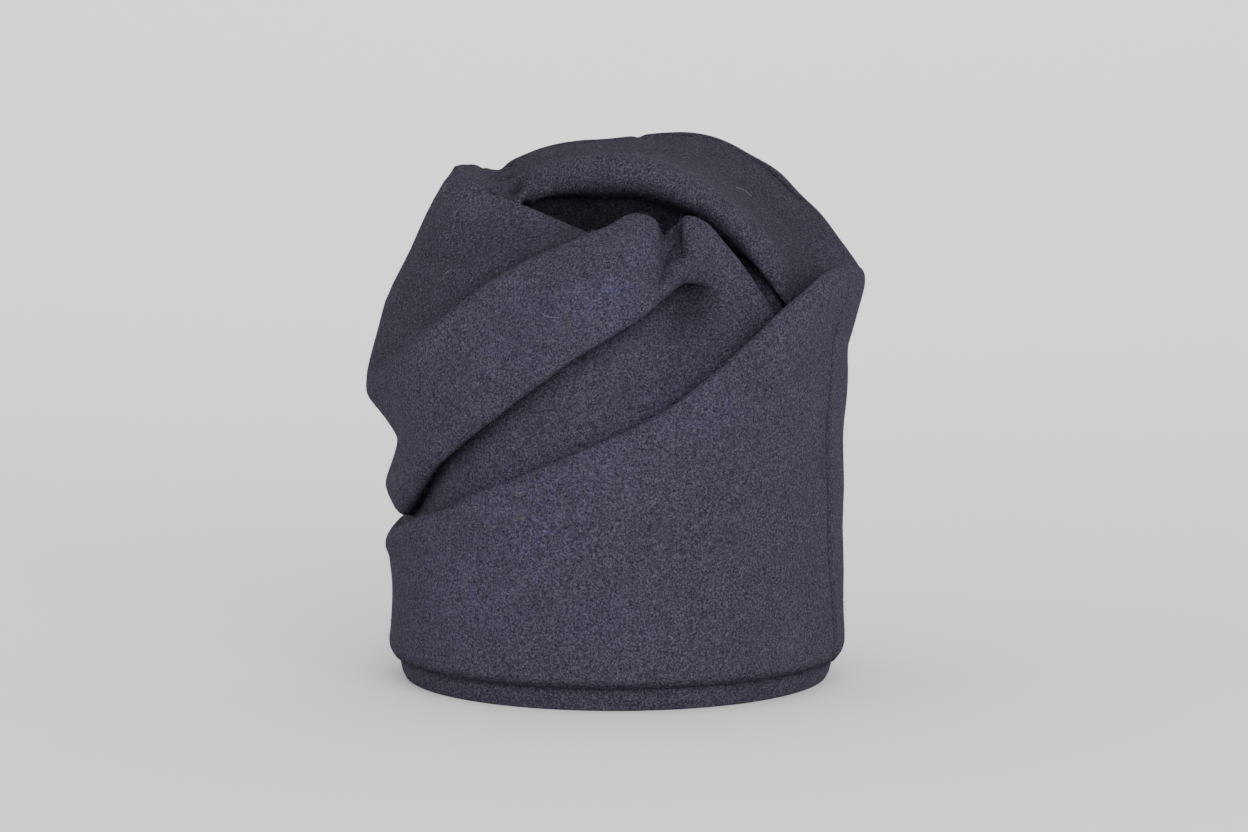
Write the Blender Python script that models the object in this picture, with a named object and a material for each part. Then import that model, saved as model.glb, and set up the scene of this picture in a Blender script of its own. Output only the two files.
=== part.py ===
"""Draped turban hat: a felted wool shell of folds, sewn from a front drape and two back panels,
standing on the narrow head band that shows below its hem. Metres, +Z up, front towards -Y."""

import math

import bpy
import numpy as np

# Driving dimensions, in metres.
HALF_WIDTH = 0.0945      # outside of the shell at the hem, side to side
HALF_DEPTH = 0.1005      # outside of the shell at the hem, front to back
CROWN_HEIGHT = 0.222     # floor to the highest point of the rim
HEM_HEIGHT = 0.0105      # floor to the shell's lower edge, so the band shows below it
CLOTH = 0.0025           # thickness of the felted cloth of the shell
SEAM_GAP = 0.0007        # clear between the panels at their seams, and between shell and band
LAYER_PITCH = 0.0052     # from one layer of cloth to the next where they lie folded together
FOLD_SOFTNESS = 0.0022   # how far the cloth's stiffness rounds each turn, along the cloth
HEM_CURL = 0.0020        # how far the shell's lower edge turns in
HEM_ROUND = 0.0045       # height over which it turns in
HEM_EDGE = 0.0012        # roundness of the shell's lower edge
SHOULDER = 0.006         # height of the rounded shoulder at each folded edge
POCKET_DEPTH = 0.028     # deepest tuck behind the wrap's folded edge
COVER_DEPTH = 0.011      # most that the pleat's lower edge hangs over the cloth below it
LIP_RISE = 0.012         # height of the swelling above the pleat's lower edge
LIP_SWELL = 0.004        # how far it swells out
FACE_DIP = 0.010         # deepest hollow along the pleat's face
RIDGE_TUCK = 0.008       # how far the cloth tucks in behind the pleat's ridge
UPPER_SWELL = 0.006      # how far the upper fold's face swells out between the ridge and the rim
ROLL_RADIUS = 0.009      # roundness of the roll that overhangs the well
ROLL_UNDERCUT = 0.012    # how far the cloth goes back under the roll
BOWL_DEPTH = 0.005       # how far the crown sinks between the rim and the roll
SEAM_INSET = 0.0065      # distance of the crown's seam inside the rim
BAND_HEIGHT = 0.026      # whole height of the head band, most of it inside the shell
BAND_WALL = 0.003        # thickness of the head band
BAND_TURN = 0.0018       # how far the band's lower edge turns in
BAND_TURN_HEIGHT = 0.007 # height over which it turns in
BAND_EASE = 0.0008       # rounding of the band's edges
WELL_HALF = 0.040        # half the length of the well's floor
WELL_SLIT = 0.005        # half the width of the well's floor
WELL_ACROSS = 0.018      # middle of the well's floor, to the right of the body's middle
WELL_FRONT = 0.050       # middle of the well's floor, in front of the body's middle
WELL_BEND = 0.009        # how far back the floor bends at its ends
WELL_SKEW = 0.003        # and how much further forwards it lies at the right end than in its middle
WELL_STRAIGHT = 0.8      # share of the floor's length along which the roll faces it squarely
WELL_FLOOR = 0.138       # height of the middle of the well's floor
WELL_FALL = 0.008        # how much lower its right end is than its middle

# Bearings in degrees from the front, positive to the right.
CORNER = 80.0            # the right corner, where the wrap's edge runs into the crown's rim
RIGHT_SEAM = 70.0        # where the front drape meets the right back panel
CROWN_SEAM = 98.0        # where their seam rises from the wrap's edge to the crown's rim
BACK_SEAM = 172.0        # where the two back panels meet
LEFT_SEAM = -112.0       # where the left back panel meets the front drape
SEAM_BOW = 5.0           # how far the right seam bows forwards, half way up to the wrap
SEAM_BOW_REACH = 22.0    # how far to each side of that seam the bow fades

# Each fold line goes once round the hat. Its rows are stations: the bearing of the section that
# crosses the line there, then the place as shares of HALF_WIDTH, HALF_DEPTH and CROWN_HEIGHT.
WRAP_EDGE = (
    # bearing, across, depth, height
    (-90, -1.015, 0.00, 0.270),
    (-65, -0.930, -0.43, 0.302),
    (-45, -0.730, -0.72, 0.350),
    (-25, -0.435, -0.925, 0.410),
    (-5, -0.095, -1.015, 0.470),
    (15, 0.265, -0.98, 0.543),
    (30, 0.510, -0.88, 0.625),
    (45, 0.730, -0.72, 0.703),
    (60, 0.910, -0.52, 0.755),
    (74, 1.030, -0.27, 0.768),
    (82, 1.070, -0.12, 0.758),
    (90, 1.078, 0.02, 0.735),
    (100, 1.045, 0.18, 0.705),
    (112, 0.985, 0.37, 0.668),
    (140, 0.655, 0.77, 0.563),
    (180, 0.000, 0.985, 0.460),
    (220, -0.645, 0.76, 0.360),
    (250, -0.940, 0.34, 0.284),
)
PLEAT_EDGE = (
    # bearing, across, depth, height
    (-90, -0.975, 0.00, 0.310),
    (-70, -0.935, -0.34, 0.326),
    (-50, -0.783, -0.65, 0.414),
    (-30, -0.508, -0.86, 0.514),
    (-10, -0.180, -0.965, 0.613),
    (3, 0.053, -0.925, 0.671),
    (12, 0.201, -0.845, 0.734),
    (20, 0.307, -0.755, 0.779),
    (27, 0.413, -0.69, 0.760),
    (35, 0.519, -0.67, 0.700),
    (43, 0.615, -0.635, 0.655),
    (50, 0.700, -0.585, 0.635),
    (56, 0.760, -0.50, 0.645),
    (62, 0.800, -0.44, 0.670),
    (68, 0.868, -0.32, 0.715),
    (74, 0.925, -0.24, 0.740),
    (82, 1.017, -0.11, 0.755),
    (90, 1.075, 0.03, 0.748),
    (100, 1.045, 0.18, 0.745),
    (120, 0.890, 0.50, 0.750),
    (150, 0.476, 0.83, 0.721),
    (180, 0.000, 0.90, 0.631),
    (210, -0.476, 0.80, 0.532),
    (240, -0.825, 0.48, 0.405),
    (255, -0.955, 0.25, 0.338),
)
PLEAT_RIDGE = (
    # bearing, across, depth, height
    (-90, -1.090, 0.00, 0.523),
    (-70, -0.984, -0.36, 0.572),
    (-50, -0.772, -0.60, 0.662),
    (-33, -0.466, -0.72, 0.757),
    (-18, -0.233, -0.74, 0.806),
    (-6, -0.042, -0.71, 0.838),
    (3, 0.095, -0.67, 0.862),
    (7, 0.165, -0.65, 0.850),
    (10, 0.205, -0.59, 0.828),
    (13, 0.240, -0.61, 0.845),
    (18, 0.305, -0.60, 0.862),
    (23, 0.380, -0.585, 0.848),
    (28, 0.445, -0.575, 0.815),
    (34, 0.529, -0.575, 0.775),
    (42, 0.620, -0.58, 0.716),
    (50, 0.700, -0.55, 0.665),
    (56, 0.748, -0.485, 0.640),
    (62, 0.785, -0.43, 0.655),
    (68, 0.850, -0.315, 0.690),
    (74, 0.910, -0.23, 0.720),
    (82, 0.998, -0.10, 0.748),
    (90, 1.055, 0.035, 0.757),
    (100, 1.040, 0.18, 0.770),
    (125, 0.783, 0.56, 0.820),
    (155, 0.360, 0.78, 0.833),
    (180, -0.011, 0.81, 0.802),
    (210, -0.444, 0.72, 0.743),
    (240, -0.783, 0.45, 0.631),
    (255, -0.974, 0.22, 0.550),
)
RIM = (
    # bearing, across, depth, height
    (-90, -0.730, 0.02, 0.946),
    (-75, -0.667, -0.17, 0.928),
    (-60, -0.550, -0.31, 0.903),
    (-45, -0.423, -0.39, 0.883),
    (-25, -0.254, -0.46, 0.851),
    (-10, -0.106, -0.51, 0.824),
    (5, 0.053, -0.57, 0.784),
    (20, 0.265, -0.54, 0.757),
    (35, 0.476, -0.52, 0.698),
    (50, 0.685, -0.515, 0.645),
    (56, 0.730, -0.475, 0.635),
    (62, 0.765, -0.42, 0.645),
    (68, 0.820, -0.31, 0.675),
    (74, 0.890, -0.22, 0.700),
    (82, 0.965, -0.09, 0.740),
    (90, 1.025, 0.04, 0.757),
    (100, 1.022, 0.17, 0.786),
    (110, 0.942, 0.29, 0.833),
    (122, 0.815, 0.43, 0.896),
    (135, 0.648, 0.56, 0.950),
    (150, 0.440, 0.66, 0.990),
    (165, 0.212, 0.71, 0.996),
    (180, -0.021, 0.69, 0.986),
    (195, -0.180, 0.64, 0.982),
    (210, -0.339, 0.56, 0.971),
    (225, -0.455, 0.45, 0.950),
    (238, -0.529, 0.37, 0.937),
    (250, -0.635, 0.28, 0.941),
    (260, -0.709, 0.15, 0.946),
)
ROLL_RIDGE = (
    # bearing, across, depth, height
    (-90, -0.434, -0.30, 0.865),
    (-70, -0.402, -0.35, 0.833),
    (-50, -0.339, -0.39, 0.802),
    (-30, -0.233, -0.43, 0.775),
    (-10, -0.063, -0.49, 0.743),
    (10, 0.190, -0.54, 0.712),
    (25, 0.402, -0.53, 0.676),
    (40, 0.582, -0.51, 0.644),
    (50, 0.660, -0.485, 0.620),
    (60, 0.688, -0.46, 0.628),
    (72, 0.710, -0.445, 0.645),
    (85, 0.728, -0.42, 0.685),
    (96, 0.710, -0.40, 0.725),
    (106, 0.677, -0.39, 0.775),
    (116, 0.614, -0.40, 0.820),
    (128, 0.508, -0.42, 0.869),
    (140, 0.392, -0.43, 0.908),
    (155, 0.254, -0.43, 0.937),
    (170, 0.127, -0.41, 0.955),
    (185, 0.000, -0.385, 0.960),
    (200, -0.148, -0.34, 0.959),
    (215, -0.275, -0.28, 0.953),
    (230, -0.360, -0.24, 0.937),
    (240, -0.402, -0.23, 0.921),
    (250, -0.434, -0.26, 0.896),
)

# How strongly each fold is made, by the bearing of the section, as a share of its named size. The
# wrap's edge turns back by its turn and goes down by its pocket, and the pleat's edge stands out by
# its lap and hangs down by its cover. A turn or a lap is whole wherever its layers lie over each
# other. A dip below 0 is a face that swells out.
FOLD_STRENGTHS = (
    # bearing, turn, pocket, lap, cover, swell, tuck, puff, roll, bowl, dip
    (-112, 0.20, 0.00, 0.20, 0.00, 0.30, 0.00, 0.50, 0.50, 0.20, 0.30),
    (-92, 0.65, 0.00, 0.60, 0.00, 1.00, 0.00, 1.00, 0.20, 0.00, 1.00),
    (-75, 1.00, 0.10, 1.00, 0.10, 0.70, 0.15, 0.80, 0.00, 0.00, 0.60),
    (-60, 1.00, 0.30, 1.00, 0.50, 0.40, 0.50, 0.40, 0.00, 0.00, 0.20),
    (-30, 1.00, 0.60, 1.00, 0.85, 0.20, 1.00, 0.10, 0.00, 0.00, -0.10),
    (3, 1.00, 0.85, 1.00, 1.00, 0.20, 1.00, 0.00, 0.00, 0.00, -0.35),
    (11, 1.00, 0.95, 1.00, 0.70, 0.10, 0.80, 0.00, 0.00, 0.00, 0.15),
    (18, 1.00, 1.00, 1.00, 0.20, 0.00, 0.60, 0.00, 0.00, 0.00, -0.10),
    (28, 1.00, 1.00, 0.40, 0.00, 0.00, 0.50, 0.00, 0.00, 0.00, 0.00),
    (40, 1.00, 0.90, 0.00, 0.00, 0.00, 0.40, 0.00, 0.00, 0.00, 0.10),
    (50, 1.00, 0.75, 0.00, 0.00, 0.00, 0.00, 0.00, 0.00, 0.00, 0.00),
    (60, 1.00, 0.50, 0.00, 0.00, 0.00, 0.00, 0.00, 0.00, 0.00, 0.00),
    (70, 1.00, 0.10, 0.00, 0.00, 0.00, 0.00, 0.00, 0.00, 0.00, 0.00),
    (76, 0.60, 0.00, 0.00, 0.00, 0.00, 0.00, 0.00, 0.00, 0.00, 0.00),
    (84, 0.00, 0.00, 0.00, 0.00, 0.00, 0.00, 0.00, 0.00, 0.20, 0.00),
    (96, 0.00, 0.00, 0.00, 0.00, 0.00, 0.00, 0.00, 0.30, 0.70, 0.00),
    (108, 0.00, 0.00, 0.00, 0.00, 0.00, 0.00, 0.00, 0.80, 0.90, 0.00),
    (120, 0.00, 0.00, 0.00, 0.00, 0.00, 0.00, 0.00, 1.00, 1.00, 0.00),
    (180, 0.00, 0.00, 0.00, 0.00, 0.00, 0.00, 0.00, 1.00, 0.60, 0.00),
    (225, 0.00, 0.00, 0.00, 0.00, 0.00, 0.00, 0.00, 1.00, 1.00, 0.00),
)

# The body below the wrap: how far up each level lies from the hem to the wrap, its size as a share
# of the hem's, and the seam's bow there as a share of its most.
BODY_LEVELS = (
    # height, size, bow
    (0.18, 0.992, 0.45),
    (0.40, 0.988, 0.90),
    (0.62, 0.992, 1.00),
    (0.82, 1.000, 0.60),
)

# Rows of faces from each control point of a section to the next, from the hem up and down the well.
ROWS = (1, 1, 1, 1, 1, 1, 1, 1, 1, 1, 1, 1, 3, 1, 1, 1, 1, 2, 2, 1, 2, 2, 1, 2, 2, 1, 1, 1, 1, 1)
CREST_POINT = 8          # the control point that the seam along the wrap's edge runs through
SEAM_POINT = 23          # the control point that the crown's seam runs through
SECTIONS = 60            # sections round the hat
FRONT_DENSITY = 1.2      # how much closer together the sections stand in front than behind
CORNER_DENSITY = 0.8     # and how much closer still at the right corner
CORNER_REACH = 16.0      # degrees from the right corner over which they do
LEAST_ROW = 0.0010       # least distance between two rows of points along a section
SPREAD_ROUNDS = 200      # rounds of pushing those rows apart
BAND_SECTIONS = 56       # sections round the head band

DRAPE, RIGHT_PANEL, LEFT_PANEL = 1, 2, 3


def ring(rows, bearings):
    """The rows' columns at any bearings, on a smooth closed curve through the stations."""
    table = np.array(rows, float)
    table = table[np.argsort(table[:, 0] % 360)]
    at = table[:, 0] % 360
    at = np.concatenate([at[-2:] - 360, at, at[:2] + 360])
    values = np.concatenate([table[-2:, 1:], table[:, 1:], table[:2, 1:]])
    step = np.diff(at)[:, None]
    rise = np.diff(values, axis=0) / step
    slope = (rise[:-1] * step[1:] + rise[1:] * step[:-1]) / (step[1:] + step[:-1])
    wanted = np.asarray(bearings, float) % 360
    low = np.clip(np.searchsorted(at, wanted, side="right") - 1, 1, len(at) - 3)
    width = step[low]
    t = (wanted - at[low])[:, None] / width
    return (
        values[low] * (1 + 2 * t) * (1 - t) ** 2
        + values[low + 1] * (3 - 2 * t) * t**2
        + slope[low - 1] * width * t * (1 - t) ** 2
        - slope[low] * width * (1 - t) * t**2
    )


def inside(points, distance, bearings):
    """The points moved level towards the axis, along their sections' bearings."""
    turn = np.radians(bearings)
    out = np.stack([np.sin(turn), -np.cos(turn), 0 * turn], 1)
    return points - out * np.broadcast_to(distance, len(points))[:, None]


def lifted(points, height):
    """The points moved up by the height, or by a height for each."""
    return points + np.outer(np.broadcast_to(height, len(points)), (0, 0, 1))


def fold_line(rows, bearings):
    """A fold line's points in metres, on the middle of the cloth."""
    points = ring(rows, bearings) * (HALF_WIDTH, HALF_DEPTH, CROWN_HEIGHT)
    return inside(points, CLOTH / 2, bearings)


def body_points(bearings, share, inset, height):
    """Points on the oval body, at that share of its size and that much inside it."""
    turn = np.radians(bearings)
    across = (HALF_WIDTH * share - inset) * np.sin(turn)
    depth = -(HALF_DEPTH * share - inset) * np.cos(turn)
    return np.stack([across, depth, np.broadcast_to(height, across.shape)], 1)


def well_middle(side):
    """Points along the middle of the well's floor, from its left end at -1 to its right end at 1."""
    across = WELL_ACROSS + WELL_HALF * side
    depth = -WELL_FRONT + WELL_BEND * side**2 - WELL_SKEW * side
    return np.stack([across, depth, WELL_FLOOR - WELL_FALL * side], 1)


def well_floor(bearings):
    """Points round the narrow floor of the well, a slot with blunt ends."""
    turn = np.radians(bearings)
    side = np.sign(np.sin(turn)) * np.sqrt(abs(np.sin(turn)))
    front = np.sign(np.cos(turn)) * np.sqrt(abs(np.cos(turn)))
    return well_middle(side) - np.outer(front, (0, WELL_SLIT, 0))


def section_points(bearings):
    """The control points of each section, from the hem up over the folds and down the well."""
    *strengths, dip = ring(FOLD_STRENGTHS, bearings).T
    turn, pocket, lap, cover, swell, tuck, puff, roll, bowl = np.clip(strengths, 0, 1)
    wrap = fold_line(WRAP_EDGE, bearings)
    edge = fold_line(PLEAT_EDGE, bearings)
    pleat = fold_line(PLEAT_RIDGE, bearings)
    rim = fold_line(RIM, bearings)
    ridge = fold_line(ROLL_RIDGE, bearings)
    floor = well_floor(bearings)

    away = (bearings - RIGHT_SEAM + 180) % 360 - 180
    bow = SEAM_BOW * np.exp(-((away / SEAM_BOW_REACH) ** 2))
    height = wrap[:, 2] - HEM_HEIGHT
    half = CLOTH / 2
    body = [
        body_points(bearings - bow * lean, size, half, HEM_HEIGHT + height * level)
        for level, size, lean in BODY_LEVELS
    ]
    depth = POCKET_DEPTH * pocket
    hang = COVER_DEPTH * cover
    back = LAYER_PITCH * turn
    front = LAYER_PITCH * lap
    side = np.clip((ridge[:, 0] - WELL_ACROSS) / WELL_HALF, -WELL_STRAIGHT, WELL_STRAIGHT)
    from_well = (ridge - well_middle(side)) * (1, 1, 0)
    from_well *= (roll / np.linalg.norm(from_well, axis=1))[:, None]
    under = ridge + from_well * ROLL_UNDERCUT
    seam_share = np.minimum(SEAM_INSET / np.linalg.norm(ridge - rim, axis=1), 0.4)[:, None]
    return np.stack([
        body_points(bearings, 1, half + HEM_CURL, HEM_HEIGHT),
        body_points(bearings, 1, half + HEM_CURL / 4, HEM_HEIGHT + HEM_ROUND / 3),
        body_points(bearings, 1, half, HEM_HEIGHT + HEM_ROUND),
        *body,
        lifted(wrap, -SHOULDER),
        inside(wrap, back * 0.5, bearings),
        lifted(inside(wrap, back, bearings), -SHOULDER * pocket),
        lifted(inside(wrap, back * 1.1, bearings), -depth),
        lifted(inside(wrap, back * 1.6, bearings), -depth - SHOULDER * 0.5 * pocket),
        lifted(inside(wrap, back * 2.1, bearings), -depth),
        lifted(inside(edge, front * 2, bearings), hang * 0.8),
        lifted(inside(edge, front * 1.5, bearings), hang + SHOULDER * 0.5 * cover),
        lifted(inside(edge, front, bearings), hang * 0.5),
        inside(edge, front * 0.4, bearings),
        lifted(inside(edge, -LIP_SWELL * swell, bearings), LIP_RISE * (0.3 * lap + 0.7 * swell)),
        inside(edge * 0.4 + pleat * 0.6, FACE_DIP * dip, bearings),
        pleat,
        inside(pleat * 0.9 + rim * 0.1, RIDGE_TUCK * tuck - UPPER_SWELL * puff * 0.5, bearings),
        inside(pleat * 0.6 + rim * 0.4, RIDGE_TUCK * tuck * 0.4 - UPPER_SWELL * puff, bearings),
        rim,
        rim + (ridge - rim) * seam_share,
        lifted((rim + ridge) / 2, -BOWL_DEPTH * bowl),
        ridge,
        lifted(ridge - from_well * ROLL_RADIUS * 0.7, -ROLL_RADIUS * roll),
        lifted(ridge, -ROLL_RADIUS * roll * 2),
        lifted(under, -ROLL_RADIUS * roll * 2.4),
        under * 0.45 + floor * 0.55,
        floor,
    ], 1)


def softened(section):
    """A section's line with its turns rounded, as dense points, and how far along each lies."""
    lengths = np.concatenate([[0], np.cumsum(np.linalg.norm(np.diff(section, axis=0), axis=1))])
    along = np.linspace(0, lengths[-1], int(lengths[-1] / (FOLD_SOFTNESS / 4)))
    dense = np.stack([np.interp(along, lengths, column) for column in section.T], 1)
    reach = int(3 * FOLD_SOFTNESS / along[1])
    weights = np.exp(-0.5 * (np.arange(-reach, reach + 1) * 3 / reach) ** 2)
    weights /= weights.sum()
    before = 2 * dense[0] - dense[reach:0:-1]
    after = 2 * dense[-1] - dense[-2 : -reach - 2 : -1]
    longer = np.concatenate([before, dense, after])
    smooth = np.stack([np.convolve(column, weights, "valid") for column in longer.T], 1)
    return smooth, along, lengths


def spread(places):
    """The places along a section, pushed apart where rows would lie closer than the least."""
    ends = places[0], places[-1]
    for _ in range(SPREAD_ROUNDS):
        push = np.maximum(LEAST_ROW - np.diff(places), 0) / 2
        places[1:] += push
        places[:-1] -= push
        places[0], places[-1] = ends
    return places


def shell_surface(bearings, rows=ROWS):
    """The middle of the cloth, as points by section and row, and the rows of the panels' tops."""
    wanted = [first + i / count for first, count in enumerate(rows) for i in range(count)]
    wanted.append(len(rows))
    crest_row = sum(rows[:CREST_POINT])
    seam_row = sum(rows[:SEAM_POINT])
    sections = []
    for section in section_points(bearings):
        smooth, along, lengths = softened(section)
        places = np.interp(wanted, np.arange(len(lengths)), lengths)
        places = np.concatenate([spread(places[: seam_row + 1]), spread(places[seam_row:])[1:]])
        sections.append(np.stack([np.interp(places, along, column) for column in smooth.T], 1))
    return np.array(sections), crest_row, seam_row


def section_bearings():
    """Bearings of the sections, closest together in front and at the corner, one on each seam."""
    fine = np.arange(0, 360, 0.5)
    density = 1 + FRONT_DENSITY * (1 + np.cos(np.radians(fine))) / 2
    density += CORNER_DENSITY * np.exp(-(((fine - CORNER) / CORNER_REACH) ** 2))
    share = np.cumsum(density) / density.sum()
    bearings = np.interp(np.arange(SECTIONS) / SECTIONS, share, fine)
    for seam in (RIGHT_SEAM, CROWN_SEAM, BACK_SEAM, LEFT_SEAM % 360):
        bearings[np.argmin(abs(bearings - seam))] = seam
    return bearings


def grid_normals(grid):
    """A unit vector out of the cloth at each point of the grid, as the mesh of its middle has it."""
    columns, rows = grid.shape[:2]
    faces = [(i, k) for i in range(columns) for k in range(rows - 1)]
    corners = [face_corners(i, k, columns) for i, k in faces]
    numbered = [[a * rows + b for a, b in corner] for corner in corners]
    numbered.append([i * rows + rows - 1 for i in range(columns)])
    mesh = bpy.data.meshes.new("middle of the cloth")
    mesh.from_pydata(grid.reshape(-1, 3).tolist(), [], numbered)
    normals = np.empty(columns * rows * 3)
    mesh.vertex_normals.foreach_get("vector", normals)
    bpy.data.meshes.remove(mesh)
    return normals.reshape(columns, rows, 3)


def face_corners(i, k, columns):
    """The grid points round a face, outwards, from the one at its section and row."""
    j = (i + 1) % columns
    return (i, k), (j, k), (j, k + 1), (i, k + 1)


def seam_shift(grid, mine, i, k):
    """How far a point moves into its piece, to leave half of the gap at a seam."""
    columns, rows = grid.shape[:2]
    side, up = 0, 0
    for a in (-1, 0):
        for b in (-1, 0):
            row = k + b if 0 <= k + b < rows - 1 else k - 1 - b
            if mine[(i + a) % columns, row]:
                side += 2 * a + 1
                up += 2 * b + 1
    shift = np.zeros(3)
    neighbours = []
    if side:
        neighbours.append(grid[(i + np.sign(side)) % columns, k])
    if up:
        neighbours.append(grid[i, k + np.sign(up)])
    for there in neighbours:
        way = there - grid[i, k]
        shift += way / np.linalg.norm(way) * SEAM_GAP / 2
    return shift


def cloth_piece(grid, normals, mine):
    """Points and faces of one piece of the shell: both sides of the cloth and its edges."""
    columns, rows = grid.shape[:2]
    cells = [(i, k) for i in range(columns) for k in range(rows - 1) if mine[i, k]]
    corners = {cell: face_corners(*cell, columns) for cell in cells}
    used = sorted({point for cell in cells for point in corners[cell]})
    number = {point: at for at, point in enumerate(used)}
    middle = np.array([grid[point] + seam_shift(grid, mine, *point) for point in used])
    out = np.array([normals[point] for point in used]) * CLOTH / 2
    points = np.concatenate([middle + out, middle - out]).tolist()
    count = len(used)

    faces = []
    sides = {}
    for cell in cells:
        loop = [number[point] for point in corners[cell]]
        faces.append(loop)
        faces.append([count + n for n in reversed(loop)])
        for one, two in zip(corners[cell], corners[cell][1:] + corners[cell][:1]):
            sides[one, two] = True
    if mine[:, -1].all():
        floor = [number[i, rows - 1] for i in range(columns)]
        faces.append(floor)
        faces.append([count + n for n in reversed(floor)])
    lowest = {number[point]: len(points) + at for at, point in enumerate(p for p in used if p[1] == 0)}
    points += [(middle[n] - (0, 0, HEM_EDGE)).tolist() for n in lowest]
    for one, two in sides:
        if (two, one) in sides or one[1] == two[1] == rows - 1:
            continue
        a, b = number[one], number[two]
        if one[1] == two[1] == 0:
            faces.append([b, a, lowest[a], lowest[b]])
            faces.append([lowest[b], lowest[a], count + a, count + b])
        else:
            loop = [b, a, lowest.get(a), count + a, count + b, lowest.get(b)]
            faces.append([n for n in loop if n is not None])
    return points, faces


def band_points(middle):
    """The head band: a rounded wall turned in at its lower edge, taken round the oval."""
    outer = SEAM_GAP + CLOTH + HEM_CURL
    corner = BAND_EASE * (1 - math.sqrt(0.5))
    lean = BAND_TURN * 0.4
    profile = (
        (BAND_TURN + BAND_EASE, 0),
        (BAND_TURN + corner, corner),
        (BAND_TURN, BAND_EASE),
        (lean, BAND_TURN_HEIGHT / 2),
        (0, BAND_TURN_HEIGHT),
        (0, BAND_HEIGHT - BAND_EASE),
        (BAND_EASE, BAND_HEIGHT),
        (BAND_WALL - BAND_EASE, BAND_HEIGHT),
        (BAND_WALL, BAND_HEIGHT - BAND_EASE),
        (BAND_WALL, BAND_TURN_HEIGHT),
        (BAND_WALL + lean, BAND_TURN_HEIGHT / 2),
        (BAND_WALL + BAND_TURN, BAND_EASE),
        (BAND_WALL + BAND_TURN - corner, corner),
        (BAND_WALL + BAND_TURN - BAND_EASE, 0),
    )
    bearings = np.linspace(0, 360, BAND_SECTIONS, endpoint=False)
    rings = [body_points(bearings, 1, outer + inset, height) for inset, height in profile]
    grid = np.stack(rings, 1) - middle
    rows = len(profile)
    faces = []
    for i in range(BAND_SECTIONS):
        j = (i + 1) % BAND_SECTIONS
        for k in range(rows):
            above = (k + 1) % rows
            faces.append([i * rows + k, j * rows + k, j * rows + above, i * rows + above])
    return grid.reshape(-1, 3).tolist(), faces


def felt(name, colour):
    """A plain felted wool material for a piece."""
    material = bpy.data.materials.new(name)
    material.use_nodes = True
    shader = material.node_tree.nodes["Principled BSDF"]
    shader.inputs["Base Color"].default_value = (*colour, 1)
    shader.inputs["Roughness"].default_value = 0.95
    shader.inputs["Metallic"].default_value = 0
    return material


def add_piece(name, points, faces, colour, collection):
    """One piece as an object of its own, shaded smooth, with its own material."""
    mesh = bpy.data.meshes.new(name)
    mesh.from_pydata(points, [], faces)
    mesh.shade_smooth()
    mesh.set_sharp_from_angle(angle=math.radians(50))
    mesh.materials.append(felt(name.replace("_", " ") + " felt", colour))
    collection.objects.link(bpy.data.objects.new(name, mesh))


def main():
    """Clears the scene and makes the four pieces, with the middle of their box at the origin."""
    for obj in list(bpy.data.objects):
        bpy.data.objects.remove(obj, do_unlink=True)
    collection = bpy.data.collections.new("turban hat")
    bpy.context.scene.collection.children.link(collection)

    bearings = section_bearings()
    grid, crest_row, seam_row = shell_surface(bearings)
    normals = grid_normals(grid)
    outside =(grid + normals * CLOTH / 2).reshape(-1, 3)
    middle = (outside.min(axis=0) + outside.max(axis=0)) / 2 * (1, 1, 0)
    grid = grid - middle

    owner = np.full((SECTIONS, grid.shape[1] - 1), DRAPE)
    left = LEFT_SEAM % 360
    owner[(bearings >= RIGHT_SEAM) & (bearings < CROWN_SEAM), :crest_row] = RIGHT_PANEL
    owner[(bearings >= CROWN_SEAM) & (bearings < BACK_SEAM), :seam_row] = RIGHT_PANEL
    owner[(bearings >= BACK_SEAM) & (bearings < left), :seam_row] = LEFT_PANEL

    navy = (0.058, 0.058, 0.092)
    add_piece("head_band", *band_points(middle), navy, collection)
    add_piece("front_drape", *cloth_piece(grid, normals, owner == DRAPE), navy, collection)
    add_piece("right_back_panel", *cloth_piece(grid, normals, owner == RIGHT_PANEL), navy, collection)
    add_piece("left_back_panel", *cloth_piece(grid, normals, owner == LEFT_PANEL), navy, collection)


main()
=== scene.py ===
"""Dresses the draped turban hat: the folded felt shell with its sewn seams and brushed nap, the
head band, loose fibres, the studio floor, the lights and the camera. Metres, +Z up, front to -Y."""

import math

import bpy
import numpy as np
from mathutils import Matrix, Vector
from mathutils.kdtree import KDTree


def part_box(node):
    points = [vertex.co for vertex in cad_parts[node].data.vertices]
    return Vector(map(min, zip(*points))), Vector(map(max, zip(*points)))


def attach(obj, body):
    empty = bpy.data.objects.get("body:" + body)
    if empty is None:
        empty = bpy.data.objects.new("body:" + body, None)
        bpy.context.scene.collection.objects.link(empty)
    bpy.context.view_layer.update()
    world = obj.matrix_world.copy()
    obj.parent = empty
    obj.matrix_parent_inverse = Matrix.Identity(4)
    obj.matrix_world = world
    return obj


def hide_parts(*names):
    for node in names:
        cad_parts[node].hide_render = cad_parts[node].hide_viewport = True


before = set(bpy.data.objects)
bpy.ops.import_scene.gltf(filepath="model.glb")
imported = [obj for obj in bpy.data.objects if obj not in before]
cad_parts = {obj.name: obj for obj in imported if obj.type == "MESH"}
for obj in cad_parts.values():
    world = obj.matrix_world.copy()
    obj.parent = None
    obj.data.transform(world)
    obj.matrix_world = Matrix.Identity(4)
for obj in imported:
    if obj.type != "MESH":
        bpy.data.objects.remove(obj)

bl_info = {
    "name": "Draped turban hat",
    "version": (1, 0, 0),
    "blender": (4, 5, 0),
    "location": "View3D > Sidebar > Turban hat",
    "description": "Makes a draped turban hat of felted wool with its head band and studio",
    "category": "Object",
}

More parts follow.
